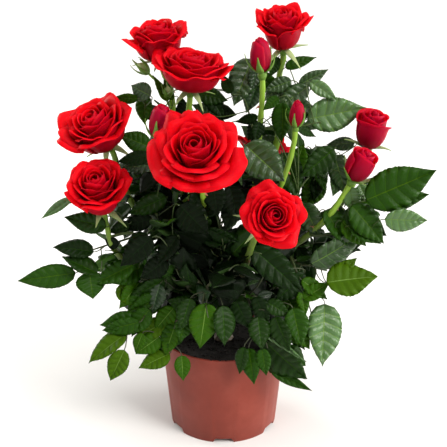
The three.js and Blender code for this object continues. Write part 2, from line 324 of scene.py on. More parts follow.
def plasticMaterial():
    material = newMaterial("pot_plastic", (0.20, 0.034, 0.019), 0.42, Specular_IOR_Level=0.3)
    place = objectPlace(material)
    stops = [(0.3, (0.175, 0.023, 0.011)), (0.52, (0.21, 0.031, 0.017)), (0.75, (0.26, 0.048, 0.030))]
    feed(material, "Base Color", ramp(material, noiseOf(material, place, 26, 4), stops))
    feedRange(material, "Roughness", noiseOf(material, place, 60, 5), 0.34, 0.56)
    feedBump(material, noiseOf(material, place, 900, 2), 0.12, 0.0004)
    return material


def compostMaterial():
    material = newMaterial("compost", (0.012, 0.008, 0.006), 0.95)
    place = objectPlace(material)
    stops = [(0.35, (0.003, 0.002, 0.0015)), (0.6, (0.008, 0.005, 0.0035)), (0.8, (0.03, 0.018, 0.011))]
    feed(material, "Base Color", ramp(material, noiseOf(material, place, 240, 5, 0.7), stops))
    feedBump(material, noiseOf(material, place, 700, 4), 0.6, 0.001)
    return material


# skin of a limb, from its foot's colour to its top's between two heights; on the green skins the dark foot
# is partly older, browner skin and partly painted shade low inside the bush
def barkMaterial(name, foot, top, low, high):
    material = newMaterial(name, top, 0.5)
    place = objectPlace(material)
    height = addNode(material, "ShaderNodeSeparateXYZ", Vector=place).outputs["Z"]
    rise = addNode(material, "ShaderNodeMapRange", Value=height, From_Min=low, From_Max=high)
    streaks = noiseOf(material, objectPlace(material, (1, 1, 0.22)), 420, 3)
    shift = scaledSum(material, streaks, 0.5, rise.outputs["Result"])
    lighter = tuple(min(1, 1.35 * c) for c in top)
    feed(material, "Base Color", ramp(material, shift, [(0.2, foot), (0.75, top), (1.3 / 1.5, lighter)]))
    feedBump(material, streaks, 0.35, 0.0006)
    return material


# velvet, deep at a petal's foot and bright at its lip; the deep foot is painted shade in the bloom's cup
def petalMaterial(name, deep, bright, roughness):
    material = newMaterial(name, bright, roughness, Specular_IOR_Level=0.06, Subsurface_Weight=0.4,
                           Subsurface_Radius=(1.0, 0.06, 0.08), Subsurface_Scale=0.006)
    blade = addNode(material, "ShaderNodeUVMap", {"uv_map": "blade"}).outputs["UV"]
    along = addNode(material, "ShaderNodeSeparateXYZ", Vector=blade).outputs["Y"]
    between = tuple(0.35 * d + 0.65 * b for d, b in zip(deep, bright))
    feed(material, "Base Color", ramp(material, along, [(0.0, deep), (0.55, between), (0.9, bright)]))
    streaks = addNode(material, "ShaderNodeMapping", Vector=blade, Scale=(16, 1.2, 1)).outputs[0]
    feedBump(material, noiseOf(material, streaks, 2.2, 3), 0.18, 0.0008)
    return material


def leafMaterial(name, colour, roughness, gloss=0.25):
    material = newMaterial(name, colour, roughness, Specular_IOR_Level=gloss)
    place = objectPlace(material)
    toEdge = {"feature": "DISTANCE_TO_EDGE"}
    cells = addNode(material, "ShaderNodeTexVoronoi", toEdge, Vector=place, Scale=430)
    veinlets = scaledSum(material, cells.outputs["Distance"], 1.4, noiseOf(material, place, 260, 3))
    feedBump(material, veinlets, 0.35, 0.0007)
    return material


# a colour from its red, green and blue out of 255
def linear(r, g, b):
    return tuple((c / 255 / 12.92) if c <= 10 else ((c / 255 + 0.055) / 1.055) ** 2.4 for c in (r, g, b))


leafTones = {  # colour, roughness, gloss and the tones of the side veins and the midrib
    # deep is painted shade: a near-black green for leaves in the shaded middle of the bush
    "deep": (linear(6, 18, 3), 0.46, 0.08, "dark", "dark"),
    # blue is a greyer green with gloss, partly painted sheen for leaves lit from above
    "blue": (linear(24, 50, 20), 0.32, 0.45, "under", "pale"),
    "dark": (linear(13, 34, 4), 0.42, 0.10, "moss", "mid"),
    "moss": (linear(22, 48, 5), 0.40, 0.12, "mid", "fresh"),
    "mid": (linear(30, 63, 4), 0.42, 0.10, "fresh", "yellow"),
    "fresh": (linear(42, 78, 3), 0.44, 0.08, "yellow", "rib"),
    "yellow": (linear(57, 87, 3), 0.46, 0.08, "yellow", "rib"),
    # grey and pale are greyer, paler greens with gloss, partly painted sheen for leaves lit from above
    "grey": (linear(42, 68, 30), 0.32, 0.45, "pale", "rib"),
    "pale": (linear(70, 104, 54), 0.32, 0.45, "rib", "rib"),
    "under": (linear(46, 72, 30), 0.60, 0.10, "rib", "rib"),
    "rib": (linear(94, 126, 48), 0.45, 0.2, "rib", "rib"),
}
toneNames = list(leafTones)
underTone = toneNames.index("under")
veinTones, ribTones = (np.array([toneNames.index(facts[k]) for facts in leafTones.values()]) for k in (3, 4))

pot = {"sides": 96, "wall": 0.002, "floor": 0.0045, "dish": 0.022, "dishSlope": 0.0015,
       "notches": 6, "notchDepth": 0.016, "notchWidth": 0.020, "notchSlant": 0.0025,
       "notchHeight": 0.0042, "firstNotch": -90, "drains": 6, "drainRadius": 0.0035, "drainLength": 0.02,
       "drainReach": 0.036, "firstDrain": -60, "softening": 0.0005, "sharpAngle": 40, "smoothAngle": 30}
potPoints = nodePoints("pot")
potHeight = potPoints[:, 2].max()
rimRadius = np.linalg.norm(potPoints[potPoints[:, 2] > potHeight - 0.001][:, :2], axis=1).max()
footRadius = np.linalg.norm(potPoints[potPoints[:, 2] < 0.002][:, :2], axis=1).max()


# outer radius of the pot's wall at a height
def potRadius(height):
    share = np.clip(height / potHeight, 0, 1)
    return footRadius + (rimRadius - footRadius) * share


# a wedge with slanted ends, wider at the ground
def notchCutter(turn):
    place = Vector(onCircle(turn, footRadius, 0))
    size = (pot["notchDepth"], pot["notchWidth"], 2 * pot["notchHeight"])
    bpy.ops.mesh.primitive_cube_add(size=1, location=place, rotation=(0, 0, turn), scale=size)
    notch = bpy.context.object
    applyPlace(notch)
    across = Vector((-math.sin(turn), math.cos(turn), 0))
    for vertex in notch.data.vertices:
        side = 1 if (vertex.co - place).dot(across) > 0 else -1
        lean = pot["notchSlant"] * (1 if vertex.co.z < 0 else -1)
        vertex.co += across * side * lean
    return notch


def drainCutter(turn):
    place = onCircle(turn, pot["drainReach"], pot["floor"])
    bpy.ops.mesh.primitive_cylinder_add(vertices=20, radius=pot["drainRadius"], depth=pot["drainLength"],
                                        location=place)
    applyPlace(bpy.context.object)
    return bpy.context.object


def makePot(material):
    wall, floor = pot["wall"], pot["floor"]
    deselectAll()
    bpy.ops.mesh.primitive_cone_add(vertices=pot["sides"], radius1=footRadius, radius2=rimRadius,
                                    depth=potHeight, location=(0, 0, potHeight / 2))
    piece = openNew("pot_shell")
    selectFaces(lambda f: f.normal.z > 0.9)  # the open top, sunk down to the floor
    bpy.ops.mesh.inset(thickness=wall)
    extrudeUp(floor + wall - potHeight)
    resizeSelected((potRadius(floor + wall) - wall) / (rimRadius - wall), floor + wall)
    selectFaces(lambda f: f.normal.z < -0.9)  # the underside, hollow between its skirt and its dish
    bpy.ops.mesh.inset(thickness=wall)
    extrudeUp(floor)
    dishFoot = pot["dish"] + pot["dishSlope"]
    bpy.ops.mesh.inset(thickness=footRadius - wall - dishFoot)
    extrudeUp(-floor)
    resizeSelected(pot["dish"] / dishFoot, 0)
    bpy.ops.object.mode_set(mode="OBJECT")
    cutters = []
    for i in range(pot["notches"]):
        cutters.append(notchCutter(math.radians(pot["firstNotch"] + 360 * i / pot["notches"])))
    for i in range(pot["drains"]):
        cutters.append(drainCutter(math.radians(pot["firstDrain"] + 360 * i / pot["drains"])))
    for tool in cutters:
        cut = piece.modifiers.new("cut", "BOOLEAN")
        cut.object = tool
        cut.operation = "DIFFERENCE"
        cut.solver = "EXACT"
    applyModifiers(piece)
    for tool in cutters:
        bpy.data.objects.remove(tool)
    soften = piece.modifiers.new("soften", "BEVEL")
    soften.width = pot["softening"]
    soften.segments = 2
    soften.limit_method = "ANGLE"
    soften.angle_limit = math.radians(pot["sharpAngle"])
    applyModifiers(piece)
    bpy.ops.object.shade_smooth_by_angle(angle=math.radians(pot["smoothAngle"]))
    settle(piece, [material], "pot_plastic", "pot")
    print("pot made", len(piece.data.polygons))


compost = {"sides": 72, "rings": 15, "gap": 0.0004, "lump": 0.0016, "lumpScale": 130, "slump": 0.0018,
           "crumbs": 620,
           "crumbSize": (0.0007, 0.0022), "rimCrumbSize": (0.0007, 0.0012),
           "rimCrumbs": (-93, -88, -101, -70, -35, 20, 64, 118, 170, 215)}


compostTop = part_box("compost")[1].z


# how much lower the compost lies at a share of its radius
def slumpAt(share):
    return compost["slump"] * share ** 6


# the bed of compost, gently lumpy and lower towards the pot's wall
def makeCompostBed(material, edge):
    deselectAll()
    depth = compostTop - pot["floor"] - pot["wall"]
    bpy.ops.mesh.primitive_cylinder_add(vertices=compost["sides"], radius=edge, depth=depth,
                                        location=(0, 0, compostTop - depth / 2))
    piece = openNew("compost_bed")
    selectFaces(lambda f: f.normal.z < -0.9)
    resizeSelected((potRadius(pot["floor"]) - 2 * pot["wall"]) / edge, pot["floor"])
    selectFaces(lambda f: f.normal.z > 0.9)
    for _ in range(compost["rings"]):
        bpy.ops.mesh.inset(thickness=edge / (compost["rings"] + 1))
    bpy.ops.mesh.poke()
    bpy.ops.object.mode_set(mode="OBJECT")
    for vertex in piece.data.vertices:
        place = vertex.co
        if place.z > compostTop - 0.001:
            lump = noise.fractal(place * compost["lumpScale"], 1.0, 2.0, 4) * compost["lump"]
            place.z += min(0, lump) - slumpAt(math.hypot(place.x, place.y) / edge)
    bpy.ops.object.shade_smooth()
    settle(piece, [material], "compost", "compost")


# corners and faces of a small ball
def ballShape():
    ball = bpy.data.meshes.new("crumb")
    shape = bmesh.new()
    bmesh.ops.create_icosphere(shape, subdivisions=1, radius=1)
    shape.to_mesh(ball)
    shape.free()
    corners = np.array([v.co for v in ball.vertices])
    faces = np.array([list(p.vertices) for p in ball.polygons])
    bpy.data.meshes.remove(ball)
    return corners, faces


# the bed, crumbs strewn over it, and a few crumbs on the pot's rim
def makeCompost(material):
    rng = np.random.default_rng(11)
    edge = potRadius(compostTop) - pot["wall"] - compost["gap"]
    makeCompostBed(material, edge)
    corners, faces = ballShape()
    heap = newHeap()
    for _ in range(compost["crumbs"]):
        turn, reach = rng.uniform(0, 2 * math.pi), edge * math.sqrt(rng.uniform(0.02, 0.96))
        size = rng.uniform(*compost["crumbSize"])
        lumpy = corners * rng.uniform(0.6, 1.25, (len(corners), 1)) * size * rng.uniform(0.6, 1.3, 3)
        height = compostTop - slumpAt(reach / edge) - 0.2 * size
        pile(heap, lumpy + onCircle(turn, reach, height), [faces])
    for azimuth in compost["rimCrumbs"]:
        size = rng.uniform(*compost["rimCrumbSize"])
        lumpy = corners * rng.uniform(0.7, 1.2, (len(corners), 1)) * size
        place = onCircle(math.radians(azimuth), rimRadius - pot["wall"] / 2, potHeight + size * 0.5)
        pile(heap, lumpy + place, [faces])
    addPiece("compost_crumbs", heap, [material], "compost")
    print("compost made")


crown = {"sides": 20, "inside": 0.0004, "foot": 0.002, "spare": 0.003, "relief": 0.0011,
         "ridges": (420, 420, 120)}
crownSteps = (  # from the foot up: each step's share of the height, and its width against the last
    (0.18, 0.78), (0.2, 0.84), (0.2, 0.96), (0.2, 1.06), (0.14, 0.9), (0.06, 0.6))


def makeCrown(material):
    low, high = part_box("crown")
    deselectAll()
    bpy.ops.mesh.primitive_cylinder_add(vertices=crown["sides"], radius=high.x - crown["inside"],
                                        depth=crown["foot"], location=(0, 0, low.z + crown["foot"] / 2))
    piece = openNew("crown_stock")
    selectFaces(lambda f: f.normal.z > 0.9)
    at = low.z + crown["foot"]
    for rise, share in crownSteps:
        step = rise * (high.z - low.z - crown["spare"])
        extrudeUp(step)
        at += step
        resizeSelected(share, at)
    bpy.ops.mesh.poke()
    bpy.ops.object.mode_set(mode="OBJECT")
    smooth = piece.modifiers.new("smooth", "SUBSURF")
    smooth.levels = smooth.render_levels = 2
    applyModifiers(piece)
    for vertex in piece.data.vertices:
        place = vertex.co
        outward = Vector((place.x, place.y, 0))
        if outward.length > 1e-5 and place.z > low.z + 0.0005:
            ridges = noise.fractal(place * Vector(crown["ridges"]), 1.0, 2.0, 3)
            place += outward.normalized() * ridges * crown["relief"]
    bpy.ops.object.shade_smooth()
    settle(piece, [material], "old_wood", "crown")
    print("crown made")


# base on its stem, axis, radius and depth of a head, from its CAD node
def measureHead(name):
    points = nodePoints(name)
    middle = centroid(name)
    ends = []
    for limbName in limbNames:
        limbTop = nodePoints(limbName)
        limbTop = limbTop[np.argsort(limbTop[:, 2])[-8:]].mean(0)
        ends.append((np.linalg.norm(limbTop - middle), limbName, limbTop))
    _, limbName, limbTop = min(ends, key=lambda e: e[0])
    base = points[np.argmin(np.linalg.norm(points - limbTop, axis=1))]
    axis = unit(middle - base)
    along = (points - base) @ axis
    off = np.linalg.norm(points - base - along[:, None] * axis, axis=1)
    return {"name": name, "limb": limbName, "base": base, "axis": axis, "middle": middle,
            "radius": np.quantile(off, 0.97), "depth": along.max()}


heads = {name: measureHead(name) for name in bloomNames + budNames}
# degrees it is tipped up and turned right, its width and depth against its node's, how open it is,
# and how far it sits down on its stem
bloomPose = {
    "bloom_top_left": (15, 0, 0.97, 1.06, 0.25, 0.003),
    "bloom_top_middle": (20, 0, 1.03, 0.94, 0.35, 0.001),
    "bloom_left": (9, 0, 1.0, 1.02, 0.3, 0.003), "bloom_left_low": (9, 0, 0.98, 1.12, 0.3, 0.007),
    "bloom_front": (12, 0, 1.0, 0.95, 0.8, 0.001), "bloom_front_right": (4, 2, 0.96, 1.1, 0.55, 0.005),
    "bloom_top_right": (9, -28, 0.96, 1.0, 0.3, 0.003), "bloom_back_right": (6, 0, 1.0, 1.0, 0.5, 0.0),
    "bloom_back_left": (6, 0, 1.0, 1.0, 0.4, 0.0),
}
for name, (tip, turn, wider, deeper, opened, sunk) in bloomPose.items():
    head = heads[name]
    level = unit(np.cross(zUp, head["axis"]))
    head["axis"] = turnAbout(head["axis"], level, -math.radians(tip))
    head["axis"] = turnAbout(head["axis"], zUp, math.radians(turn))
    reach = np.linalg.norm(head["middle"] - head["base"]) + sunk
    head["base"] = head["middle"] - head["axis"] * reach
    head["radius"] *= wider
    head["depth"] *= deeper
    head["open"] = opened
buds = {  # how far each has opened, 0 for a tight bud and 1 for a goblet, and how much wider than its node
    "bud_top_right": (0.12, 1.18), "bud_left": (0.08, 1.3), "bud_right_small": (0.0, 1.0),
    "bud_far_right": (0.9, 1.0), "bud_right": (0.62, 1.0),
}
for name, (opened, wider) in buds.items():
    heads[name]["radius"] *= wider
    heads[name]["open"] = opened


# across, other and axis of a head, turned about its axis
def headFrame(head, turn):
    axis = head["axis"]
    across = squared(np.array([1.0, 0.13, 0.07]), axis)
    other = np.cross(axis, across)
    c, s = math.cos(turn), math.sin(turn)
    return np.stack([c * across + s * other, c * other - s * across, axis])


goldenTurn = 137.5  # degrees from one petal or leaf to the next
bloom = {"across": 14, "along": 10, "thickness": 0.00034, "wideAt": 0.5, "footWidth": 0.62,
         "ruffle": 0.09, "point": 0.05, "rollAt": 0.76, "ringTurn": 36, "uneven": 0.04}
# for each ring of petals from the heart outwards: how many, place of its first and last petal between
# heart (0) and edge (1), and half the degrees that each of those two spans
petalRings = (
    (9, 0.0, 0.30, 160, 74), (5, 0.38, 0.46, 62, 62), (5, 0.58, 0.66, 54, 54),
    (5, 0.76, 0.84, 49, 49), (5, 0.93, 1.0, 46, 46),
)
bud = {"petals": 9, "across": 10, "along": 9, "thickness": 0.00045, "wideAt": 0.45, "footWidth": 0.45,
       "slimmer": 0.97, "rollAt": 0.8}


# adds a closed thin sheet from a grid of points; inwards points to the side that is its front
def pileSheet(heap, front, thickness, inwards, uvs, fore, aft):
    rows, cols = front.shape[:2]
    normal = np.cross(np.gradient(front, axis=1), np.gradient(front, axis=0))
    length = np.linalg.norm(normal, axis=2)[..., None]
    normal /= np.maximum(length, 1e-12)
    turned = np.einsum("ijk,ijk->", normal, inwards) < 0
    back = front - (-normal if turned else normal) * thickness
    index = np.arange(rows * cols).reshape(rows, cols)
    a, b, c, d = index[:-1, :-1], index[:-1, 1:], index[1:, 1:], index[1:, :-1]
    faces = np.stack([a, b, c, d], -1).reshape(-1, 4)
    count = rows * cols
    rim = np.concatenate([index[0, :-1], index[:-1, -1], index[-1, :0:-1], index[:0:-1, 0]])
    following = np.roll(rim, -1)
    edge = np.stack([rim, rim + count, following + count, following], -1)
    behind = faces[:, ::-1] + count
    if not turned:
        faces, behind, edge = faces[:, ::-1], behind[:, ::-1], edge[:, ::-1]
    points = np.concatenate([front.reshape(-1, 3), back.reshape(-1, 3)])
    pile(heap, points, [faces, behind, edge], (fore, aft, aft), np.concatenate([uvs, uvs]))


# adds one petal, from reach and height of its points and their angle about the head's axis
def pilePetal(heap, head, basis, r, h, theta, u, v, thickness):
    local = np.stack([r * np.cos(theta), r * np.sin(theta), h * np.ones_like(theta)], -1)
    grid = head["base"] + local @ basis
    inwards = head["base"] + basis[2] * head["depth"] * 1.2 - grid
    uvs = np.stack([0.5 + 0.5 * u * np.ones_like(v), v * np.ones_like(u)], -1).reshape(-1, 2)
    pileSheet(heap, grid, thickness, inwards, uvs, 0, 1)


# steps across and along a petal, its share of full width and how far its lip is rolled at each step
def petalGrid(facts):
    u = np.linspace(-1, 1, facts["across"] + 1)[None, :]
    v = np.linspace(0, 1, facts["along"] + 1)[:, None]
    grown = np.clip(v / facts["wideAt"], 0, 1)
    width = facts["footWidth"] + (1 - facts["footWidth"]) * grown ** 2 * (3 - 2 * grown)
    return u, v, width, np.clip((v - facts["rollAt"]) / (1 - facts["rollAt"]), 0, 1) ** 2


# reach and height of a petal's surface; s is 0 at the heart and 1 at the outermost petals
def petalProfile(s, v, u, head, sideLean):
    radius, depth, opened = head["radius"], head["depth"], head["open"]
    knots = [0, 0.12, 0.3, 0.6, 0.85, 1.0]
    lipHeight = np.interp(s, knots, [0.90, 0.97, 1.0, 0.95, 0.90 - 0.12 * opened, 0.86 - 0.26 * opened])
    lean = np.interp(s, knots, [-34, -26, -10, 14 + 24 * opened, 28 + 40 * opened, 38 + 56 * opened])
    lean = np.radians(lean) + sideLean * np.abs(u) ** 2 * s
    footReach = radius * (0.05 + 0.05 * s)
    footHeight = 0.02 * depth * (1 - s)
    handle = (0.30 + 0.08 * s) * depth
    lipReach = radius * (0.03 + 0.92 * s)
    belly = footReach + radius * (0.10 + (0.72 - 0.27 * opened) * s)
    r = bezier(footReach, belly, lipReach - handle * np.sin(lean), lipReach, v)
    h = bezier(footHeight, footHeight + depth * (0.20 - 0.14 * s),
               depth * lipHeight - handle * np.cos(lean), depth * lipHeight, v)
    return r, h


def makeBloom(head, materials, seed):
    rng = np.random.default_rng(seed)
    heap = newHeap()
    basis = headFrame(head, rng.uniform(0, 2 * math.pi))
    radius, depth = head["radius"], head["depth"]
    u, v, width, lip = petalGrid(bloom)
    uneven = bloom["uneven"]
    ruffle = bloom["ruffle"] * (0.4 + 0.6 * head["open"])
    ringStart = 0.0
    for ring, (count, first, last, wide, narrow) in enumerate(petalRings):
        for i in range(count):
            share = first + (last - first) * i / (count - 1)
            s = np.clip(share + 0.04 * u + rng.uniform(-0.03, 0.03) * (ring > 0), 0, 1.03)
            half = np.radians(wide + (narrow - wide) * i / (count - 1)) * rng.uniform(0.88, 1.14)
            top = 1 - 0.20 * np.abs(u) ** 2.6 + bloom["point"] * np.exp(-(u / 0.22) ** 2) * share
            t = v * top * (1 + rng.uniform(-0.05, 0.03) * (ring > 0))
            r, h = petalProfile(s, t, u, head, math.radians(rng.uniform(5, 15 + 45 * head["open"])))
            roll = lip * (0.7 + 0.6 * np.abs(u)) * rng.uniform(0.5, 1.3)
            r = r + roll * radius * (0.03 + 0.06 * share)
            h = h - roll * depth * (0.01 + 0.10 * share)
            h = h + depth * rng.uniform(-uneven, uneven) * share * v
            r = r + radius * rng.uniform(-uneven, uneven) * share * v ** 2
            if ring == 0:
                middle = math.radians(goldenTurn) * i
            else:
                middle = ringStart + 2 * math.pi * (i * 2 % count) / count + rng.uniform(-0.2, 0.2)
            theta = middle + u * half * width
            phase, waves = rng.uniform(0, 2 * math.pi), rng.uniform(1.2, 2.8)
            wave = ruffle * share * v ** 3 * np.sin(math.pi * waves * u + phase)
            h = h + depth * wave
            r = r + radius * 0.5 * wave
            pilePetal(heap, head, basis, r, h, theta, u, v, bloom["thickness"])
        ringStart += math.radians(bloom["ringTurn"] + goldenTurn)
    addPiece(head["name"] + "_petals", heap, materials, "petal", head["name"])


def makeBud(head, materials, seed):
    rng = np.random.default_rng(seed)
    heap = newHeap()
    basis = headFrame(head, rng.uniform(0, 2 * math.pi))
    radius, depth, opened = head["radius"] * bud["slimmer"], head["depth"], head["open"]
    u, v, width, roll = petalGrid(bud)
    for i in range(bud["petals"]):
        share = i / (bud["petals"] - 1)
        s = np.clip(share + 0.09 * u, 0, 1.05)
        half = np.radians(np.interp(share, [0, 0.4, 1], [150, 95, 68]))
        t = v * (1 - 0.17 * np.abs(u) ** 2.4)
        foot = radius * (0.16 + 0.14 * s)
        belly = radius * (0.30 + 0.72 * s)
        mouth = radius * (0.04 + s * (0.24 + 0.66 * opened))
        r = bezier(foot, belly, belly * (1.0 - 0.02 * s), mouth, t)
        crest = depth * (1.0 - s * (0.10 + 0.08 * opened))
        h = bezier(0, depth * (0.10 + 0.10 * (1 - s)), depth * (0.62 + 0.08 * opened), crest, t)
        r = r + roll * radius * share * (0.08 + 0.16 * opened)
        theta = np.radians(goldenTurn) * i + u * half * width
        pilePetal(heap, head, basis, r, h, theta, u, v, bud["thickness"])
    addPiece(head["name"] + "_petals", heap, materials, "bud_petal", head["name"])


calyx = {"sepals": 5, "bloomLength": 0.023, "budLength": 0.021, "width": 0.0058, "thickness": 0.0005,
         "cup": 0.35, "outline": (0.62, 0.95, 1.0, 0.9, 0.72, 0.5, 0.32, 0.2, 0.06),
         "bloomSpread": (88, 112), "bloomCurl": (10, 60), "bloomFoot": 0.003,
         "hipRadius": 0.0042, "hipLength": 0.0075}
youngBuds = {  # what they spring from, then how far below its head, azimuth, rise, stem length and size
    "source": "bloom_top_left",
    "each": ((0.040, 200, 50, 0.034, 0.017), (0.052, 250, 66, 0.020, 0.014), (0.058, 215, 70, 0.022, 0.014)),
}


# a narrow pointed blade that leaves the axis at spread degrees and bends by curl degrees
def pileSepal(heap, origin, basis, azimuth, length, width, spread, curl, foot):
    t = np.linspace(0, 1, len(calyx["outline"]))
    angle = np.radians(spread + curl * t)
    step = length * t[1]
    r = foot + np.concatenate([[0], np.cumsum(np.sin(angle[:-1]) * step)])
    h = np.concatenate([[0], np.cumsum(np.cos(angle[:-1]) * step)])
    half = width * np.array(calyx["outline"]) / 2
    u = np.array([-1.0, 0.0, 1.0])
    outward = math.cos(azimuth) * basis[0] + math.sin(azimuth) * basis[1]
    side = -math.sin(azimuth) * basis[0] + math.cos(azimuth) * basis[1]
    cup = calyx["cup"] * half[:, None] * (1 - np.abs(u)[None, :])
    grid = origin + (r[:, None, None] + 0 * u[None, :, None]) * outward + h[:, None, None] * basis[2]
    grid = grid + (half[:, None] * u[None, :])[..., None] * side
    normalOut = np.cos(angle)[:, None, None] * outward - np.sin(angle)[:, None, None] * basis[2]
    grid = grid + cup[..., None] * normalOut
    uvs = np.stack(np.meshgrid(u * 0.5 + 0.5, t), -1).reshape(-1, 2)
    pileSheet(heap, grid, calyx["thickness"], -normalOut + 0 * grid, uvs, 1, 0)


# the green swelling between stem and petals
def pileHip(heap, head, radius, length):
    t = np.linspace(0, 1, 7)
    path = head["base"] + (t[:, None] * 1.25 - 1) * length * head["axis"]
    swell = radius * (0.62 + 0.42 * np.sin(math.pi * np.clip(t * 1.05, 0, 1)) ** 1.2)
    pileTube(heap, path, swell, 12, withUvs=True)


# small green buds, still shut in their sepals, on short stems
def makeYoungBuds(paths, stemSkin, materials):
    rng = np.random.default_rng(8)
    heap, stems = newHeap(), newHeap()
    path = paths[heads[youngBuds["source"]]["limb"]]
    run = runAlong(path)
    for below, azimuth, rise, length, size in youngBuds["each"]:
        start = path[int(np.searchsorted(run, run[-1] - below))]
        axis = polarDirection(azimuth, rise)
        end = start + axis * length
        t = np.linspace(0, 1, 9)[:, None]
        line = bezier(start, start + zUp * 0.3 * length, end - axis * 0.4 * length, end, t)
        pileTube(stems, line, np.linspace(0.0013, 0.0011, len(line)), 8)
        young = {"axis": unit(line[-1] - line[-2])}
        basis = headFrame(young, rng.uniform(0, 2 * math.pi))
        t = np.linspace(0, 1, 10)
        body = end + t[:, None] * size * 0.8 * young["axis"]
        swell = 0.24 * size * np.sin(math.pi * (0.12 + 0.86 * t)) ** 0.8
        pileTube(heap, body, swell, 12, 1, withUvs=True)
        for k in range(calyx["sepals"]):
            azimuth = 2 * math.pi * k / calyx["sepals"]
            pileSepal(heap, end, basis, azimuth, size * rng.uniform(0.95, 1.15), size * 0.30, 40,
                      -62 + rng.uniform(-3, 8), 0.05 * size)
    addPiece("young_buds", heap, materials, "green_stem")
    addPiece("young_bud_stems", stems, [stemSkin], "green_stem")
    print("young buds made")


def makeCalyces(materials):
    rng = np.random.default_rng(5)
    heap = newHeap()
    for name, head in heads.items():
        isBloom = name.startswith("bloom")
        basis = headFrame(head, rng.uniform(0, 2 * math.pi))
        radius, depth, opened = head["radius"], head["depth"], head["open"]
        pileHip(heap, head, min(calyx["hipRadius"], 0.36 * radius), min(calyx["hipLength"], depth * 0.25))
        for k in range(calyx["sepals"]):
            azimuth = 2 * math.pi * k / calyx["sepals"] + rng.uniform(-0.12, 0.12)
            if isBloom:
                length = calyx["bloomLength"] * rng.uniform(0.8, 1.15)
                spread, curl = rng.uniform(*calyx["bloomSpread"]), rng.uniform(*calyx["bloomCurl"])
                foot, width = calyx["bloomFoot"], calyx["width"]
            else:
                length = min(calyx["budLength"], depth * 0.72) * rng.uniform(0.85, 1.1)
                spread = 62 - 10 * (1 - opened) + rng.uniform(-6, 6)
                curl = -75 + 115 * opened + rng.uniform(-8, 14)
                foot, width = 0.28 * radius, calyx["width"] * min(1.25, radius / 0.011)
            pileSepal(heap, head["base"], basis, azimuth, length, width, spread, curl, foot)
    addPiece("calyces", heap, materials, "green_stem")
    print("calyces made")


limb = {"cane": (0.0040, 0.0026), "stalk": (0.0030, 0.0023), "neck": 0.013, "slices": 30, "sides": 12,
        "spacing": 0.0032, "internode": 0.027, "knuckle": 0.13, "knuckleReach": 0.0022, "relief": 0.11}


# radius of a limb at its foot and at its neck
def limbRadii(name):
    return limb[name.split("_")[0]]


# middles of level slices through a limb's CAD node, from its foot up
def sliceMiddles(name):
    corners = nodeTriangles(name)
    after = np.roll(corners, -1, axis=1)
    z, zAfter = corners[..., 2], after[..., 2]
    middles = []
    for level in np.linspace(z.min() + 0.003, z.max() - 0.001, limb["slices"]):
        crossed = (z > level) != (zAfter > level)
        p, q = corners[crossed], after[crossed]
        cuts = p + (q - p) * ((level - p[:, 2]) / (q[:, 2] - p[:, 2]))[:, None]
        cuts = cuts.reshape(-1, 2, 3)  # each triangle that is cut has two cut sides
        weight = np.linalg.norm(cuts[:, 1] - cuts[:, 0], axis=1)[:, None]
        middles.append((cuts.mean(1) * weight).sum(0) / weight.sum())
    return np.array(middles)


# the centreline of each limb, from inside what it springs from up to its head
def limbPaths():
    paths = {}
    headOf = {head["limb"]: head for head in heads.values()}
    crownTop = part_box("crown")[1].z
    for name in limbNames:
        head = headOf[name]
        neck = head["base"] - limb["neck"] * head["axis"]
        middles = sliceMiddles(name)
        middles = middles[middles[:, 2] < neck[2] - 0.004]
        line = [*middles, neck, head["base"] - 0.0004 * head["axis"]]
        if name.startswith("cane"):
            start = np.array([0.15 * middles[0][0], 0.15 * middles[0][1], crownTop - 0.009])
        else:
            parents = np.concatenate([p for n, p in paths.items() if n.startswith("cane")])
            start = parents[np.argmin(np.linalg.norm(parents - middles[0], axis=1))]
        paths[name] = smoothPath([start, *line], limb["spacing"])
    return paths


def pileLimb(heap, name, path, seed):
    rng = np.random.default_rng(seed)
    foot, neck = limbRadii(name)
    along = np.linspace(0, 1, len(path))
    run = along * np.linalg.norm(np.diff(path, axis=0), axis=1).sum()
    radius = foot + (neck - foot) * along ** 0.8
    knuckles = (run + rng.uniform(0, limb["internode"])) % limb["internode"]
    near = np.minimum(knuckles, limb["internode"] - knuckles)
    radius = radius * (1 + limb["knuckle"] * np.exp(-(near / limb["knuckleReach"]) ** 2))
    around = np.linspace(0, 2 * math.pi, limb["sides"], endpoint=False)
    shift = rng.uniform(0, 50)
    rough = np.array([[noise.noise(Vector((3 * math.cos(a) + shift, 3 * math.sin(a), d * 90)))
                       for a in around] for d in run])
    age = (0.35 + 0.65 * np.clip(1.4 - along * 2.2, 0, 1))[:, None]
    pileTube(heap, path, radius[:, None] * (1 + limb["relief"] * age * rough), limb["sides"])


def makeLimbs(paths, caneSkin, stalkSkin):
    for k, (name, path) in enumerate(paths.items()):
        heap = newHeap()
        pileLimb(heap, name, path, 40 + k)
        skin = caneSkin if name.startswith("cane") else stalkSkin
        addPiece(name + "_skin", heap, [skin], "green_stem", name)
    print("limbs made", len(paths))


thorn = {"every": 0.019, "length": 0.0036, "base": 0.0013, "point": 0.00006, "hook": 0.45, "clear": 0.03}


def makeThorns(paths, material):
    rng = np.random.default_rng(77)
    heap = newHeap()
    for name, path in paths.items():
        run = runAlong(path)
        distance = thorn["clear"]
        while distance < run[-1] - thorn["clear"]:
            k = int(np.searchsorted(run, distance))
            tangent = unit(path[k] - path[k - 1])
            out = squared(polarDirection(rng.uniform(0, 360), 5), tangent)
            foot = path[k] + out * limbRadii(name)[1] * 0.8
            length = thorn["length"] * rng.uniform(0.7, 1.25)
            t = np.linspace(0, 1, 5)[:, None]
            line = foot + out * length * t - tangent * length * thorn["hook"] * t ** 2
            pileTube(heap, line, thorn["base"] * (1 - t[:, 0]) ** 0.8 + thorn["point"], 6)
            distance += thorn["every"] * rng.uniform(0.6, 1.9)
    addPiece("thorns", heap, [material], "green_stem")
    print("thorns made")


leaflet = {"widthShare": 0.62, "chevron": 0.13, "quilt": 0.038, "groove": 0.012, "tooth": 0.02,
           "vein": 0.009, "thickness": 0.0004}


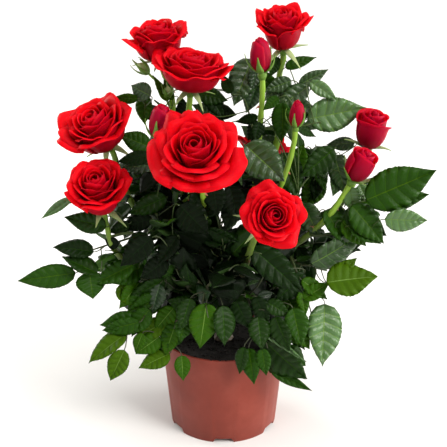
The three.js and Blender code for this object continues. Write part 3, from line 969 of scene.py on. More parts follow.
# steps along the midrib, with a narrow strip for each side vein
def veinSteps(veins, strip):
    steps = [0.0]
    for k in range(veins):
        steps += [(k + share) / veins for share in (0.22, 0.5, 0.78)]
        steps += [(k + 1) / veins - strip / 2, (k + 1) / veins + strip / 2]
    return steps[:-2] + [1.0]


# the points of a leaflet, each as step along, place across, underside or not and odd row or not, and
# its faces, for all leaflets that are as fine
def leafletTemplate(steps, veins, places):
    rows = len(steps) - 1
    last = len(places) - 1
    grid, spot = {}, []
    for i in range(1, rows):
        for j, place in enumerate(places):
            grid[i, j] = len(spot)
            spot.append((steps[i], place, 0, i % 2))
    foot, tip = len(spot), len(spot) + 1
    spot += [(0, 0, 0, 0), (1, 0, 0, 0)]
    under = {}
    for i in range(1, rows, 2):
        under[i] = len(spot)
        spot.append((steps[i], 0, 1, 0))
    blades, sideVeins, ribs, ends, backs, backEnds = [], [], [], [], [], []
    for i in range(1, rows - 1):
        isVein = steps[i + 1] - steps[i] < leaflet["vein"] * 1.1
        for j in range(last):
            group = ribs if j == last // 2 else (sideVeins if isVein else blades)
            group.append((grid[i, j], grid[i, j + 1], grid[i + 1, j + 1], grid[i + 1, j]))
    for i in range(1, rows - 2, 2):  # the underside is coarser, in five-sided faces
        backs.append((under[i], grid[i, 0], grid[i + 1, 0], grid[i + 2, 0], under[i + 2]))
        backs.append((grid[i + 2, last], grid[i + 1, last], grid[i, last], under[i], under[i + 2]))
    for j in range(last):
        ends.append((foot, grid[1, j + 1], grid[1, j]))
        ends.append((tip, grid[rows - 1, j], grid[rows - 1, j + 1]))
    backEnds.append((foot, grid[1, 0], under[1]))
    backEnds.append((foot, under[1], grid[1, last]))
    backEnds.append((tip, under[rows - 1], grid[rows - 1, 0]))
    backEnds.append((tip, grid[rows - 1, last], under[rows - 1]))
    groups = [np.array(group) for group in (blades, ends, sideVeins, ribs, backs, backEnds)]
    return {"veins": veins, "spots": np.array(spot, float), "faces": groups}


coarseLeaflet = leafletTemplate(np.linspace(0, 1, 13), 6, (-1, -0.5, -0.03, 0.03, 0.5, 1))
fineLeaflet = leafletTemplate(veinSteps(7, leaflet["vein"]), 7,
                              (-1, -0.7, -0.35, -0.025, 0.025, 0.35, 0.7, 1))


# points of many leaflets at once, as an array of leaflets by points by 3
def leafletShapes(items, template):
    t, place, under, odd = template["spots"].T
    c = np.abs(place)
    side = np.sign(place)
    y = t + leaflet["chevron"] * c * np.sin(math.pi * t) ** 0.8
    outline = np.sin(math.pi * np.clip(y, 0, 1) ** 0.72) ** (0.68 + 0.5 * np.clip(y, 0, 1))
    outline = outline * (1 + leaflet["tooth"] * np.where(odd == 1, 1, -1) * (c == 1))
    puff = np.interp(c, [0.03, 0.35, 0.6, 1], [0, 0.9, 1, 0.25])
    puff = puff * np.abs(np.sin(math.pi * template["veins"] * t)) ** 0.8
    length, width, fold, bend, twist, quilt, wave, phase, origin, along, normal = (
        np.array([item[key] for item in items])[:, None]
        for key in ("length", "width", "fold", "bend", "twist", "quilt", "wave", "phase", "origin",
                    "along", "normal"))
    x = side * c * outline * width / 2
    fade = np.sin(math.pi * np.clip(t, 0.02, 0.98)) ** 0.5
    z = puff * fade * leaflet["quilt"] * length * quilt - leaflet["groove"] * length * (c < 0.1)
    z = z + fold * np.abs(x) + wave * width * np.sin(2 * math.pi * t * 1.6 + phase + side) * c
    z = z - under * leaflet["thickness"] * 1.5
    x2 = x * np.cos(twist * y) - z * np.sin(twist * y)
    z2 = x * np.sin(twist * y) + z * np.cos(twist * y)
    safe = np.where(np.abs(bend) < 1e-3, 1e-3, bend)  # the blade bends down along an arc
    forward = length * np.sin(safe * y) / safe + z2 * np.sin(safe * y)
    lift = z2 * np.cos(safe * y) - length * (1 - np.cos(safe * y)) / safe
    across = np.cross(along, normal)
    return origin + x2[..., None] * across + forward[..., None] * along + lift[..., None] * normal


# adds leaflets, with veins, midribs and undersides in tones of their own
def pileLeaflets(heap, items, shapes, template):
    tones = np.array([item["tone"] for item in items], int)
    offsets = (np.arange(len(items)) * len(template["spots"]))[:, None, None]
    under = np.full(len(items), underTone)
    groups, groupTones = [], []
    kinds = (tones, tones, veinTones[tones], ribTones[tones], under, under)
    for faces, tone in zip(template["faces"], kinds):
        if len(faces):
            groups.append((faces + offsets).reshape(-1, faces.shape[1]))
            groupTones.append(np.repeat(tone, len(faces)))
    pile(heap, shapes.reshape(-1, 3), groups, groupTones)


leaf = {"petiole": 0.00062, "rachis": 0.00045, "lateral": (0.86, 0.70, 0.58), "lateralSize": (0.9, 1.08),
        "spread": 62, "spreadMore": (-9, 12), "droop": (0.02, 0.32), "bow": 0.10, "endBend": 0.32,
        "leastGap": 0.012, "firstGap": 0.010, "twigFoot": 0.0015, "twigTip": 0.0005, "twigBehind": 0.005}
leafletWays = {  # between which two numbers each measure of a leaflet is drawn
    "filling": {"fold": (-0.02, 0.30), "bend": (0.1, 0.75), "twist": (-0.35, 0.35), "wave": (0.0, 0.05),
                "phase": (0, 6.28), "quilt": (0.6, 1.2)},
    "shown": {"fold": (0.0, 0.2), "bend": (0.05, 0.35), "twist": (-0.2, 0.2), "wave": (0.0, 0.04),
              "phase": (0, 6.28), "quilt": (1.1, 1.9)},
}


def newLeaflet(rng, way, origin, along, face, length, width, tone):
    item = {"origin": origin, "along": along, "normal": squared(face, along), "length": length,
            "width": width, "tone": tone}
    for key, (low, high) in leafletWays[way].items():
        item[key] = rng.uniform(low, high)
    return item


# a compound leaf from base to the tip of its end leaflet: its leaflets, and its stalk's path
def growLeaf(rng, base, tip, normal, terminal, leaflets, tone):
    run = tip - base
    reach = np.linalg.norm(run)
    terminal = min(terminal, 0.8 * reach)
    towards = unit(run)
    normal = squared(normal, towards)
    bow = leaf["bow"] * reach
    end = tip - towards * terminal + normal * bow * 0.5
    t = np.linspace(0, 1, 7)[:, None]
    stalk = base + (end - base) * t + normal * bow * np.sin(math.pi * t * 0.8)
    items = []

    def addLeaflet(origin, along, face, length):
        width = length * leaflet["widthShare"] * rng.uniform(0.9, 1.12)
        items.append(newLeaflet(rng, "filling", origin, unit(along), face, length, width, tone))

    last = unit(stalk[-1] - stalk[-2])
    aim = tip - end
    addLeaflet(end, aim + 0.18 * normal * np.linalg.norm(aim), normal, np.linalg.norm(aim) * 1.04)
    items[0]["bend"] = leaf["endBend"]
    items[0]["twist"] *= 0.4
    pairs = (leaflets - 1) // 2
    rachis = np.linalg.norm(end - base)
    gapLength = max(leaf["leastGap"], min(0.62 * terminal, rachis * 0.85 / max(1, pairs)))
    for k in range(pairs):
        place = 1 - (leaf["firstGap"] + k * gapLength) / rachis
        if place < 0.06:
            break
        at = np.array([np.interp(place, t[:, 0], stalk[:, m]) for m in range(3)])
        size = terminal * leaf["lateral"][k] * rng.uniform(*leaf["lateralSize"])
        for side in (-1, 1):
            spread = math.radians(leaf["spread"] + rng.uniform(*leaf["spreadMore"])) * side
            along = turnAbout(last, normal, spread) - normal * rng.uniform(*leaf["droop"])
            face = normal + turnAbout(last, normal, math.radians(90) * side) * rng.uniform(-0.1, 0.35)
            addLeaflet(at, along, face, size)
    return items, stalk


headOutline = ([0, 0.35, 0.6, 1], [0.25, 0.75, 1, 0.95])  # shares of a head's depth and of its radius there


# True for points inside a bloom or bud, or close in front of its face
def headZones(points, margin, ahead):
    inside = np.zeros(points.shape[:-1], bool)
    for head in heads.values():
        off = points - head["base"]
        along = off @ head["axis"]
        reach = np.linalg.norm(off - along[..., None] * head["axis"], axis=-1)
        share = np.clip(along / head["depth"], 0, 1)
        width = head["radius"] * np.interp(share, *headOutline) + margin
        inside |= (along > -0.002) & (along < head["depth"] + ahead) & (reach < width)
    return inside


def inPot(points):
    reach = np.linalg.norm(points[..., :2], axis=-1)
    z = points[..., 2]
    wall = potRadius(z)
    hitsWall = (z < potHeight + 0.001) & (reach < wall + 0.0012) & (reach > wall - pot["wall"] - 0.001)
    buried = (reach < wall) & (z < compostTop + 0.0005)
    return hitsWall | buried | (z < 0.004)


def outsideBox(points, spare):
    low, high = (np.array(corner) for corner in cadBounds)
    return ((points < low - spare) | (points > high + spare)).any(-1)


view = {"camera": (0, -1.0, 0.604), "lookAt": (0, 0, 0.204), "lens": 93.6}
eye, target = np.array(view["camera"]), np.array(view["lookAt"])
front = unit(eye - target)  # towards the side that the plant is looked at from
right = np.array([1.0, 0.0, 0.0])
upward = np.cross(front, right)
# gaps in the bush that sky is seen through: mm right of and above the middle of the view, and radius
skyGaps = (
    (1, 116, 5), (15, 102, 5), (25, 103, 4), (40, 110, 4), (42, 85, 3), (57, 70, 5), (55, 63, 4),
    (53, 139, 3), (62, 123, 4), (87, 116, 4), (82, 78, 5), (91, 78, 6), (101, 80, 6), (111, 84, 4),
    (99, 22, 6), (72, 24, 4), (95, -3, 3), (92, -50, 5), (91, -70, 3), (-122, -15, 6), (-112, -21, 5),
    (-129, -11, 4), (-89, 90, 5), (-79, 91, 4), (-98, 73, 4), (-90, 66, 4), (-40, 116, 4), (-159, -25, 8),
    (-115, -102, 5), (83, -131, 4),
)


def inGap(points):
    off = points - eye
    nearer = np.linalg.norm(eye - target) / -(off @ front)
    across, up = off @ right * nearer, off @ upward * nearer
    inside = np.zeros(points.shape[:-1], bool)
    for x, y, radius in skyGaps:
        inside |= np.hypot(across - x / 1000, up - y / 1000) < radius / 1000
    return inside


# leaves that stand out: place of the tip along the mass (0 at its root, 1 at its tip) and off that
# line, heading of the midrib as seen from the front, length in mm, width against length, tone, and
# for some the mm that they are set back. The tones are partly painted light: deep ones where the bush
# is in shade are painted shade, blue, grey and pale ones are partly painted sheen, and some leaves in
# shade are given a lighter tone as painted light
shownLeaves = {
    "far_left": (
        (0.98, 0.015, 188, 52, 0.42, "mid"), (0.69, -0.12, 169, 37, 0.52, "dark"),
        (0.58, 0.29, 279, 24, 1.15, "mid"), (0.66, -0.03, 154, 35, 0.6, "moss"),
        (0.55, 0.2, 205, 40, 0.5, "mid"), (0.38, -0.03, 153, 14, 0.8, "deep")),
    "left_upper": (
        (0.97, 0.03, 166, 38, 0.5, "moss"), (1.22, 0.05, 213, 32, 0.3, "pale"),
        (0.35, 0.15, 200, 30, 0.55, "deep"), (0.48, 0.19, 204, 20, 0.6, "dark")),
    "left_low": (
        (0.73, -0.16, 188, 36, 0.52, "mid"), (0.76, -0.1, 195, 35, 0.5, "mid"),
        (1.02, 0.0, 214, 43, 0.5, "yellow"), (1.0, 0.28, 245, 32, 0.6, "yellow"),
        (0.5, -0.15, 234, 30, 0.6, "fresh"), (0.38, -0.36, 262, 22, 1.0, "mid"),
        (0.38, -0.08, 307, 24, 0.75, "yellow"), (0.48, -0.08, 203, 35, 0.6, "mid"),
        (0.6, 0.07, 229, 30, 0.65, "mid"), (0.38, -0.15, 210, 36, 0.6, "moss"),
        (0.45, -0.1, 225, 30, 0.6, "mid")),
    "left_skirt": (
        (0.92, -0.1, 203, 31, 0.64, "yellow"), (0.8, -0.21, 216, 27, 0.7, "fresh"),
        (0.8, 0.45, 274, 23, 0.65, "fresh"), (0.8, -0.23, 247, 20, 0.6, "fresh"),
        (0.64, -0.32, 207, 32, 0.6, "yellow"), (0.62, 0.0, 224, 32, 0.65, "mid"),
        (0.65, 0.1, 250, 26, 0.6, "fresh"), (0.65, -0.34, 250, 23, 0.6, "mid", 5),
        (0.05, -0.2, 164, 27, 0.6, "moss"), (0.28, -0.3, 251, 28, 0.75, "blue"),
        (0.45, -0.15, 230, 28, 0.65, "fresh")),
    "front_low": (
        (0.64, 0.04, 263, 42, 0.66, "fresh"), (0.58, 0.25, 276, 36, 0.6, "moss"),
        (0.5, -0.15, 252, 30, 0.6, "moss"), (0.6, -0.14, 256, 24, 0.7, "mid", 4)),
    "right_drop": (
        (0.71, -0.37, 259, 25, 0.55, "moss"), (0.86, -0.27, 277, 33, 0.55, "mid"),
        (0.82, -0.12, 279, 25, 0.55, "mid"), (0.82, 0.29, 323, 73, 0.12, "pale"),
        (0.66, 0.31, 283, 35, 0.65, "mid"), (0.67, 0.17, 291, 34, 0.65, "moss"),
        (0.56, -0.07, 277, 30, 0.7, "moss"), (0.34, 0.31, 330, 25, 0.6, "moss"),
        (0.73, 0.39, 304, 37, 0.62, "fresh", 6), (0.35, 0.07, 294, 28, 0.65, "dark", 4),
        (0.34, -0.12, 295, 30, 0.65, "dark", 5)),
    "right_skirt": (
        (0.95, 0.01, 334, 42, 0.25, "mid"), (0.8, 0.01, 316, 50, 0.76, "moss", -8),
        (0.31, 0.37, 308, 39, 0.5, "fresh"), (0.55, 0.2, 299, 35, 0.65, "mid")),
    "right_hanging": (
        (0.95, -0.03, 268, 56, 0.62, "pale"), (0.3, 0.2, 32, 28, 0.55, "fresh"),
        (0.52, -0.06, 281, 24, 0.5, "fresh")),
    "right_middle": (
        (0.99, -0.06, 10, 47, 0.75, "yellow"), (0.77, 0.09, 43, 34, 0.5, "yellow", 3),
        (0.85, 0.3, 27, 56, 0.5, "grey"), (0.5, -0.35, 326, 30, 0.55, "fresh"),
        (-0.1, -0.3, 218, 36, 0.6, "moss"), (0.88, 0.22, 318, 32, 0.6, "fresh"),
        (0.35, 0.27, 292, 34, 0.7, "grey")),
    "far_right": (
        (0.98, 0.01, 23, 67, 0.56, "mid"), (0.9, -0.13, 7, 50, 0.45, "mid", 4),
        (0.55, -0.3, 330, 44, 0.6, "moss")),
    "far_right_low": (
        (0.98, 0.03, 356, 39, 0.57, "pale"), (0.66, -0.1, 312, 45, 0.6, "mid"),
        (0.4, -0.1, 305, 38, 0.55, "mid"), (0.45, 0.13, 281, 24, 0.7, "pale"),
        (0.64, -0.1, 333, 33, 0.5, "mid", 3)),
    "right_high": (
        (0.99, 0.035, 11, 54, 0.58, "pale", 8), (0.71, 0.17, 326, 29, 0.45, "pale"),
        (0.43, -0.15, 334, 18, 0.5, "moss")),
    "top_right": (
        (0.85, 0.15, 27, 30, 0.42, "grey"), (0.75, 0.34, 20, 30, 0.42, "mid"),
        (0.6, -0.26, 354, 37, 0.6, "grey"), (0.1, -0.15, 215, 38, 0.5, "grey"),
        (0.05, 0.1, 201, 26, 0.6, "grey"), (0.15, 0.24, 247, 20, 0.5, "moss")),
    "top_middle": (
        (0.5, 0.15, 249, 46, 0.62, "grey"), (0.39, 0.05, 246, 26, 0.65, "blue"),
        (0.44, -0.19, 226, 27, 0.65, "grey"), (0.45, -0.4, 325, 30, 0.6, "mid"),
        (0.57, 0.2, 344, 28, 0.6, "moss"), (0.4, 0.3, 301, 26, 0.6, "dark"),
        (0.38, 0.16, 343, 21, 0.7, "deep"), (0.3, 0.19, 198, 21, 0.5, "dark"),
        (0.08, 0.13, 230, 21, 0.8, "dark"), (0.87, 0.17, 119, 19, 0.6, "moss", 3),
        (0.68, 0.57, 150, 22, 0.6, "dark", 6), (0.57, 0.55, 151, 20, 0.6, "deep", 8),
        (0.59, -0.08, 254, 22, 0.6, "blue")),
    "front_quilt": (
        (0.67, -0.24, 317, 46, 0.72, "grey"), (0.35, 0.2, 301, 26, 0.6, "pale")),
    "right_heart": (
        (0.7, 0.05, 223, 40, 0.6, "moss"), (0.55, 0.0, 290, 44, 0.6, "moss"),
        (0.87, 0.34, 267, 36, 0.55, "mid"), (0.77, 0.52, 257, 19, 0.6, "dark"),
        (1.03, 0.59, 219, 18, 0.6, "mid")),
    "right_shoulder": (
        (0.76, 0.11, 185, 26, 0.5, "grey"), (0.46, -0.13, 291, 42, 0.5, "mid"),
        (0.35, 0.14, 248, 33, 0.75, "mid"), (0.46, -0.2, 253, 33, 0.55, "pale"),
        (0.52, -0.28, 286, 41, 0.5, "grey"), (0.33, -0.1, 263, 23, 0.6, "dark"),
        (0.6, -0.45, 297, 19, 0.6, "pale"), (0.65, 0.26, 70, 27, 0.7, "fresh", -3),
        (0.53, -0.06, 287, 32, 0.6, "grey", -3), (0.25, 0.06, 260, 25, 0.65, "grey"),
        (0.2, -0.07, 241, 36, 0.65, "fresh", -3), (0.58, -0.2, 275, 29, 0.55, "grey", 2),
        (0.57, 0.43, 18, 22, 0.7, "grey", -3), (0.46, 0.38, 297, 27, 0.7, "moss", 2)),
    "top_left": (
        (0.84, -0.12, 152, 21, 0.85, "grey"), (0.95, 0.1, 180, 22, 0.5, "fresh"),
        (0.5, 0.2, 266, 27, 0.65, "fresh"), (0.1, -0.16, 299, 16, 0.5, "dark"),
        (0.65, -0.35, 119, 27, 0.34, "yellow"), (0.53, -0.37, 113, 21, 0.4, "fresh", 3),
        (0.21, -0.03, 215, 20, 0.8, "deep", 3)),
    "left_high": (
        (1.01, -0.02, 157, 30, 0.65, "mid"), (0.75, 0.2, 182, 32, 0.6, "blue")),
    "left_shoulder": (
        (0.7, 0.15, 205, 38, 0.5, "moss"), (0.85, -0.4, 117, 32, 0.55, "deep"),
        (0.38, 0.7, 202, 38, 0.6, "mid"), (1.12, -0.08, 192, 31, 0.42, "dark")),
    # painted shade: the leaves in front of the dark middle of the bush are all deep
    "front_left": (
        (0.75, -0.38, 314, 36, 0.8, "deep"), (0.81, 0.4, 222, 38, 0.55, "deep"),
        (0.67, 0.11, 235, 30, 0.6, "deep"), (0.59, 0.3, 216, 30, 0.65, "deep")),
    "front_right": (
        (0.67, -0.36, 319, 60, 0.45, "dark"), (0.34, -0.22, 227, 38, 0.6, "dark"),
        (0.34, 0.12, 198, 14, 0.35, "pale")),
    # painted shade: the middle of the bush is mostly deep
    "centre": (
        (0.46, -0.14, 333, 32, 0.45, "dark"), (0.6, -0.05, 253, 34, 0.6, "deep"),
        (0.73, 0.0, 278, 30, 0.7, "deep"), (0.76, 0.19, 252, 30, 0.7, "deep"),
        (0.67, -0.16, 285, 32, 0.7, "deep"), (0.08, 0.13, 299, 33, 0.12, "grey")),
}
# the sprays that fill a mass: how many, and the length of their end leaflets
filling = {
    "far_left": (3, 0.034), "left_upper": (3, 0.034), "left_low": (6, 0.040),
    "left_skirt": (7, 0.038), "front_low": (6, 0.038), "right_drop": (8, 0.048),
    "right_skirt": (7, 0.046), "right_hanging": (6, 0.046),
    "right_middle": (6, 0.046), "far_right": (4, 0.046),
    "far_right_low": (5, 0.044), "right_high": (6, 0.044), "top_right": (6, 0.034),
    "top_middle": (9, 0.040), "top_left": (5, 0.032), "left_high": (6, 0.042),
    "left_shoulder": (7, 0.046), "front_quilt": (6, 0.046), "centre": (9, 0.050),
    "right_heart": (8, 0.050), "front_left": (9, 0.050),
    "front_right": (9, 0.052), "right_shoulder": (8, 0.048), "back": (10, 0.050),
}


bushHeart = np.array([0, 0, 0.15])


# middle, axis to the tip, face normal and half sizes of a mass, from its CAD node
def massFrame(name):
    points = nodePoints(name)
    middle = centroid(name)
    tip = points[np.argmax(np.linalg.norm(points - bushHeart, axis=1))]
    axis = unit(tip - middle)
    spread = np.cov((points - points.mean(0)).T)
    flat = np.linalg.eigh(spread)[1][:, 0]
    outward = unit(np.array([middle[0], middle[1], 0])) * 0.7 + zUp * 0.7
    if flat @ outward < 0:
        flat = -flat
    face = squared(flat, axis)
    across = np.cross(axis, face)
    off = points - middle
    return {"name": name.removeprefix("leaves_"), "middle": middle, "tip": tip, "axis": axis, "face": face,
            "across": across, "root": middle + axis * (off @ axis).min(),
            "long": np.linalg.norm(tip - middle), "wide": np.quantile(np.abs(off @ across), 0.97),
            "thick": np.quantile(np.abs(off @ face), 0.9)}


# the weight on deep in the middle is painted shade, and the weights high up on blue, grey and pale are
# partly painted sheen
toneWeights = (  # for each of the first nine leaf tones: anywhere, then added in the middle, low and high
    (0.4, 4.0, 0, 0), (0.15, 0, 0, 0.5), (1.0, 0, 0, 0), (0.9, 0, 0, 0), (0.8, 0, 0, -0.3),
    (0.1, 0, 0.7, 0), (0, 0, 0.35, 0), (0.1, 0, 0, 0.9), (0, 0, 0, 0.1))


# low sprays are yellower; high ones bluer and greyer, partly painted sheen; and those near the middle
# deeper, as painted shade
def chooseTone(rng, place):
    z = place[2]
    lowness = np.clip((0.17 - z) / 0.07, 0, 1)
    highness = np.clip((z - 0.22) / 0.12, 0, 1)
    midness = np.clip(1.5 - abs(place[0]) / 0.055, 0, 1) * np.clip((0.31 - z) / 0.05, 0, 1)
    weight = np.array(toneWeights) @ np.array([1, midness, lowness, highness])
    # painted shade: fewer of the lighter tones near the middle of the bush
    weight[3:] *= 1 - 0.85 * midness * (z > 0.13)
    return int(rng.choice(len(weight), p=weight / weight.sum()))


# a twig from the nearest limb below into a mass, behind the leaves that stand out there
def massTwig(mass, paths):
    middle, axis, face = (mass[k] for k in ("middle", "axis", "face"))
    root = middle - axis * mass["long"] * 0.75 - face * mass["thick"] * 0.4
    everyPath = np.concatenate(list(paths.values()))
    lower = everyPath[everyPath[:, 2] < max(root[2] + 0.004, 0.115)]
    start = lower[np.argmin(np.linalg.norm(lower - root, axis=1) + 0.25 * np.abs(lower[:, 2] - root[2]))]
    end = middle + axis * mass["long"] * 0.15 - face * mass["thick"] * 0.2
    if mass["name"] in shownLeaves:
        root, middle, end = (place - front * leaf["twigBehind"] for place in (root, middle, end))
    return smoothPath([start, start + 0.45 * (root - start) + 0.004 * zUp, root, middle, end], 0.006)


# one leaf of shownLeaves, and its stalk from the mass's twig
def shownLeaf(rng, mass, twig, along, off, heading, length, ratio, tone, behind=0):
    h = math.radians(heading)
    towards = unit(math.cos(h) * right + math.sin(h) * upward + rng.uniform(-0.1, 0.2) * front)
    run = mass["tip"] - mass["root"]
    side = unit(np.cross(front, run)) * np.linalg.norm(run)
    tip = mass["root"] + along * run + off * side - front * behind / 1000
    length = length / 1000
    origin = tip - towards * length
    face = front + 0.26 * rng.normal(size=3)
    tone = toneNames.index(tone)
    item = newLeaflet(rng, "shown", origin, towards, face, length * 1.02, length * ratio, tone)
    start = twig[np.argmin(np.linalg.norm(twig - (origin - 0.35 * length * towards), axis=1))]
    gap = np.linalg.norm(origin - start)
    t = np.linspace(0, 1, 9)[:, None]
    stalk = bezier(start, start + 0.12 * gap * zUp, origin - towards * 0.3 * gap, origin, t)
    return [item], stalk


fan = {  # degrees off the mass's axis, shares of its size, and metres
    "first": 28, "spread": 130, "fill": (0.78, 0.96), "layer": (-0.7, 0.6), "setBack": 0.012,
    "fiveFrom": 0.04, "endSize": (0.85, 1.15),
}


# the leaves that fill one mass in a fan, behind those that stand out
def fillingLeaves(rng, mass):
    count, endLength = filling.get(mass["name"], filling["back"])
    leaves = []
    middle, axis, across, face = (mass[k] for k in ("middle", "axis", "across", "face"))
    behind = np.zeros(3) if mass["name"].startswith("back") else -front
    for k in range(count):
        side = 1 if k % 2 else -1
        share = (k - 0.5) / max(1, count - 1)
        turn = 0 if k == 0 else math.radians(fan["first"] + fan["spread"] * share) * side
        fill = rng.uniform(*fan["fill"])
        layer = rng.uniform(*fan["layer"]) * mass["thick"] * face + behind * rng.uniform(0, fan["setBack"])
        c, s = math.cos(turn), math.sin(turn)
        tip = middle + mass["long"] * c * fill * axis + mass["wide"] * s * fill * across + layer
        base = middle + axis * mass["long"] * (0.5 * c - 0.62) + across * s * mass["wide"] * 0.12
        base = base - face * mass["thick"] * 0.35
        tone = chooseTone(rng, (base + tip) / 2)
        leaflets = 5 if np.linalg.norm(tip - base) > fan["fiveFrom"] else 3
        tilt = face - 0.4 * behind + 0.3 * rng.normal(size=3)
        endSize = endLength * rng.uniform(*fan["endSize"])
        leaves.append(growLeaf(rng, base, tip, tilt, endSize, leaflets, tone))
    return leaves


inner = {"first": 0.022, "every": (0.017, 0.026), "bare": 0.052, "rise": 22, "reach": (0.055, 0.085),
         "droop": 0.006, "leaflets": 5, "endSize": (0.034, 0.046)}


# leaves along a limb, inside the bush
def innerLeaves(rng, path):
    run = runAlong(path)
    leaves = []
    distance = inner["first"]
    turn = rng.uniform(0, 360)
    while distance < run[-1] - inner["bare"]:
        k = int(np.searchsorted(run, distance))
        at = path[k]
        outward = unit(np.array([at[0], at[1], 0]) + 1e-4)
        direction = unit(polarDirection(turn, inner["rise"]) + 0.7 * outward)
        tip = at + direction * rng.uniform(*inner["reach"]) - zUp * inner["droop"]
        normal = zUp + 0.5 * outward + 0.3 * rng.normal(size=3)
        tone = chooseTone(rng, at * 0.6 + tip * 0.4)
        endSize = rng.uniform(*inner["endSize"])
        leaves.append(growLeaf(rng, at, tip, normal, endSize, inner["leaflets"], tone))
        turn += goldenTurn
        distance += rng.uniform(*inner["every"])
    return leaves


# True for leaflets that would cover one of the leaves that stand out, as seen from the front
def coversShown(shapes, shownItems):
    seen = np.stack([right, upward])
    covers = np.zeros(len(shapes), bool)
    for item in shownItems:
        across = np.cross(item["along"], item["normal"])
        plane = np.stack([seen @ item["along"] * item["length"], seen @ across * item["width"] / 2], 1)
        if abs(np.linalg.det(plane)) < 0.2 * item["length"] * item["width"] / 2:
            continue
        off = shapes - item["origin"]
        a, b = np.moveaxis(off @ seen.T @ np.linalg.inv(plane).T, -1, 0)
        ahead = off @ front - a * item["length"] * (item["along"] @ front)
        ahead = ahead - b * item["width"] / 2 * (across @ front)
        within = (a > 0.06) & (a < 0.96) & (np.abs(b) < 0.85) & (ahead > -0.003)
        covers |= within.sum(1) > 2
    return covers


# True for leaflets in the way of a head, the pot, a leaf that stands out or a gap, or past the box
def obstructed(shapes, margin, ahead, shownItems):
    bad = headZones(shapes, margin, ahead) | inPot(shapes) | outsideBox(shapes, 0.008)
    bad = bad.any(1)
    if shownItems:
        bad |= coversShown(shapes, shownItems) | inGap(shapes).any(1)
    return bad


# a leaflet in the way turns aside and stays a little smaller
def divert(rng, item, most):
    item["along"] = unit(item["along"] + most * rng.normal(size=3))
    item["normal"] = squared(item["normal"] + most * rng.normal(size=3), item["along"])
    item["length"] *= 1 - 0.2 * most
    item["width"] *= 1 - 0.2 * most


clearance = {  # tries, and for each kind of leaf the room beside and before a head, and the most it turns
    "tries": 5, "filling": (0.002, 0.03, 0.35), "shown": (-0.002, 0.001, 0.12),
}


# the leaflets and stalks of some leaves; leaflets in the way are turned aside up to four times, and
# then left out, as are stalks that run through a head or the pot
def clearLeaflets(rng, leaves, template, shownItems):
    items = [item for leaflets, _ in leaves for item in leaflets]
    owner = np.repeat(np.arange(len(leaves)), [len(leaflets) for leaflets, _ in leaves])
    fills = template is coarseLeaflet
    margin, ahead, most = clearance["filling" if fills else "shown"]
    for attempt in range(clearance["tries"]):
        shapes = leafletShapes(items, template)
        bad = obstructed(shapes, margin, ahead, shownItems if fills else [])
        if attempt < clearance["tries"] - 1:
            for item, inTheWay in zip(items, bad):
                if inTheWay:
                    divert(rng, item, most)
    keep = [item for item, inTheWay in zip(items, bad) if not inTheWay]
    stalks = [leaves[k][1] for k in sorted(set(owner[~bad]))]
    stalks = [stalk for stalk in stalks if not (headZones(stalk, 0, 0) | inPot(stalk)).any()]
    return keep, shapes[~bad], stalks


# the side of the bush that a mass is on
def regionOf(name):
    words = name.split("_")[1:]
    for region in ("back", "top", "front", "left", "right"):
        if region in words:
            return region
    return "front"


def makeFoliage(paths, leafMaterials, twigMaterial, stalkMaterial):
    sprays, twigs, stalks = {}, newHeap(), newHeap()
    shownItems = []
    for k, name in enumerate(massNames):
        rng = np.random.default_rng(300 + k)
        mass = massFrame(name)
        twig = massTwig(mass, paths)
        pileTube(twigs, twig, np.linspace(leaf["twigFoot"], leaf["twigTip"], len(twig)), 7)
        shown = [shownLeaf(rng, mass, twig, *facts) for facts in shownLeaves.get(mass["name"], ())]
        shownItems += [items[0] for items, _ in shown]
        sprays.setdefault(regionOf(name), []).extend(
            [(shown, fineLeaflet, []), (fillingLeaves(rng, mass), coarseLeaflet, [name])])
    sprays["inner"] = [(innerLeaves(np.random.default_rng(700 + k), path), coarseLeaflet, [])
                       for k, path in enumerate(paths.values())]
    rng = np.random.default_rng(9)
    for region, several in sprays.items():
        heap = newHeap()
        replaced = []
        for leaves, template, names in several:
            replaced += names
            if leaves:
                items, shapes, lines = clearLeaflets(rng, leaves, template, shownItems)
                pileLeaflets(heap, items, shapes, template)
                for line in lines:
                    pileTube(stalks, line, np.linspace(leaf["petiole"], leaf["rachis"], len(line)), 5)
        addPiece("leaves_on_" + region, heap, leafMaterials, "leaf", *replaced)
        print("leaves", region, heap["count"])
    addPiece("twigs", twigs, [twigMaterial], "green_stem")
    addPiece("leaf_stalks", stalks, [stalkMaterial], "green_stem")
    print("foliage made")


studio = {"world": 0.05, "sky": 1.0, "light": (1.0, 0.975, 0.93), "floor": 0.8, "floorSize": 16.0}
lamps = {  # kind, place, metres or degrees wide, power or strength, and what each is turned to
    "fill": ("AREA", (-1.0, -1.2, 0.8), 0.9, 6, (0, 0, 0.2)),
    "rim": ("AREA", (-1.0, 0.7, 0.5), 0.6, 8, (0, 0, 0.2)),
    "side": ("AREA", (1.4, 0.1, 0.35), 0.6, 15, (0, 0, 0.06)),
    "key": ("SUN", (1.15, -0.9, 1.0), 27, 2.9, (0, 0, 0)),
    "overhead": ("SUN", (0, 0.1, 1.0), 95, 2.8, (0, 0, 0)),
}


# a lamp or camera, stood in its place and turned to its target
def stand(name, data, place, target):
    thing = bpy.data.objects.new(name, data)
    thing.location = place
    thing.rotation_euler = (Vector(target) - Vector(place)).to_track_quat("-Z", "Y").to_euler()
    bpy.context.scene.collection.objects.link(thing)
    return thing


# a world that is bright where it is seen and dim as a light
def makeWorld():
    world = bpy.data.worlds.new("studio")
    bpy.context.scene.world = world
    world.use_nodes = True
    backdrop = world.node_tree.nodes["Background"]
    backdrop.inputs["Color"].default_value = (1, 1, 1, 1)
    seen = addNode(world, "ShaderNodeLightPath").outputs["Is Camera Ray"]
    strength = addNode(world, "ShaderNodeMapRange", Value=seen, To_Min=studio["world"], To_Max=studio["sky"])
    world.node_tree.links.new(strength.outputs["Result"], backdrop.inputs["Strength"])


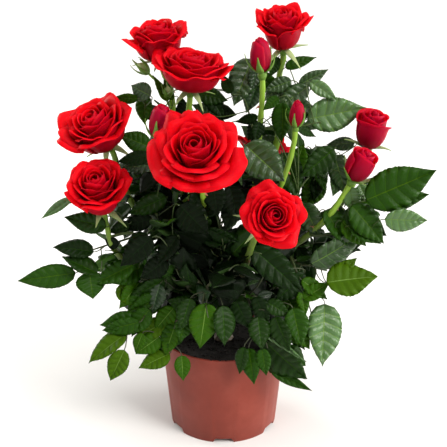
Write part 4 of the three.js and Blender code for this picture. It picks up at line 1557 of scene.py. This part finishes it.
def makeStudio():
    scene = bpy.context.scene
    scene.view_settings.view_transform = "Standard"
    makeWorld()
    deselectAll()
    bpy.ops.mesh.primitive_plane_add(size=studio["floorSize"], location=(0, 0, 0))
    floor = bpy.context.object
    floor.name = "floor"
    white = newMaterial("floor_white", (studio["floor"],) * 3, 0.9, Specular_IOR_Level=0.1)
    floor.data.materials.append(white)
    for name, (kind, place, wide, power, target) in lamps.items():
        light = bpy.data.lights.new(name, kind)
        light.energy = power
        light.color = studio["light"]
        if kind == "SUN":
            light.angle = math.radians(wide)
        else:
            light.shape = "SQUARE"
            light.size = wide
        stand(name, light, place, target)
    camera = bpy.data.cameras.new("camera")
    camera.lens = view["lens"]
    camera.sensor_width = 36
    scene.camera = stand("camera", camera, view["camera"], view["lookAt"])


plastic = plasticMaterial()
soil = compostMaterial()
wood = barkMaterial("old_wood", (0.07, 0.05, 0.03), (0.12, 0.09, 0.045), 0.08, 0.11)
# the dark feet of the cane, stalk, twig and leaf stalk skins are partly browner, older skin and partly
# painted shade low in the bush
caneSkin = barkMaterial("cane_skin", (0.05, 0.045, 0.02), linear(100, 132, 29), 0.17, 0.30)
stalkSkin = barkMaterial("stalk_skin", (0.06, 0.07, 0.02), linear(112, 146, 34), 0.18, 0.26)
twigSkin = barkMaterial("twig_skin", (0.03, 0.03, 0.012), linear(50, 68, 20), 0.14, 0.28)
leafStalkSkin = barkMaterial("leaf_stalk_skin", (0.03, 0.035, 0.012), linear(50, 70, 20), 0.16, 0.30)
thornSkin = barkMaterial("thorn_skin", (0.14, 0.05, 0.03), (0.26, 0.10, 0.05), 0.10, 0.35)
petalFront = petalMaterial("petal_face", (0.34, 0.0, 0.003), (0.64, 0.001, 0.007), 0.52)
# the backs are darker copies of the faces: partly the petal's deeper reverse, partly painted shade on the
# undersides
petalBack = petalMaterial("petal_back", (0.22, 0.001, 0.005), (0.42, 0.001, 0.012), 0.5)
budFront = petalMaterial("bud_face", (0.20, 0.0, 0.006), (0.44, 0.001, 0.014), 0.5)
# the bud backs are darker than the faces: partly deeper reverse, partly painted shade
budBack = petalMaterial("bud_back", (0.16, 0.001, 0.008), (0.34, 0.001, 0.022), 0.48)
sepalGreen = leafMaterial("sepal_green", linear(92, 128, 44), 0.5)
sepalPale = leafMaterial("sepal_pale", linear(158, 176, 120), 0.6)
leafMaterials = [leafMaterial("leaf_" + name, *facts[:3]) for name, facts in leafTones.items()]

makePot(plastic)
makeCompost(soil)
makeCrown(wood)
for k, name in enumerate(bloomNames):
    makeBloom(heads[name], [petalFront, petalBack], 100 + k)
print("blooms made", len(bloomNames))
for k, name in enumerate(budNames):
    makeBud(heads[name], [budFront, budBack], 200 + k)
print("buds made", len(budNames))
makeCalyces([sepalGreen, sepalPale])
paths = limbPaths()
makeLimbs(paths, caneSkin, stalkSkin)
makeYoungBuds(paths, stalkSkin, [sepalGreen, sepalPale])
makeThorns(paths, thornSkin)
makeFoliage(paths, leafMaterials, twigSkin, leafStalkSkin)
makeStudio()
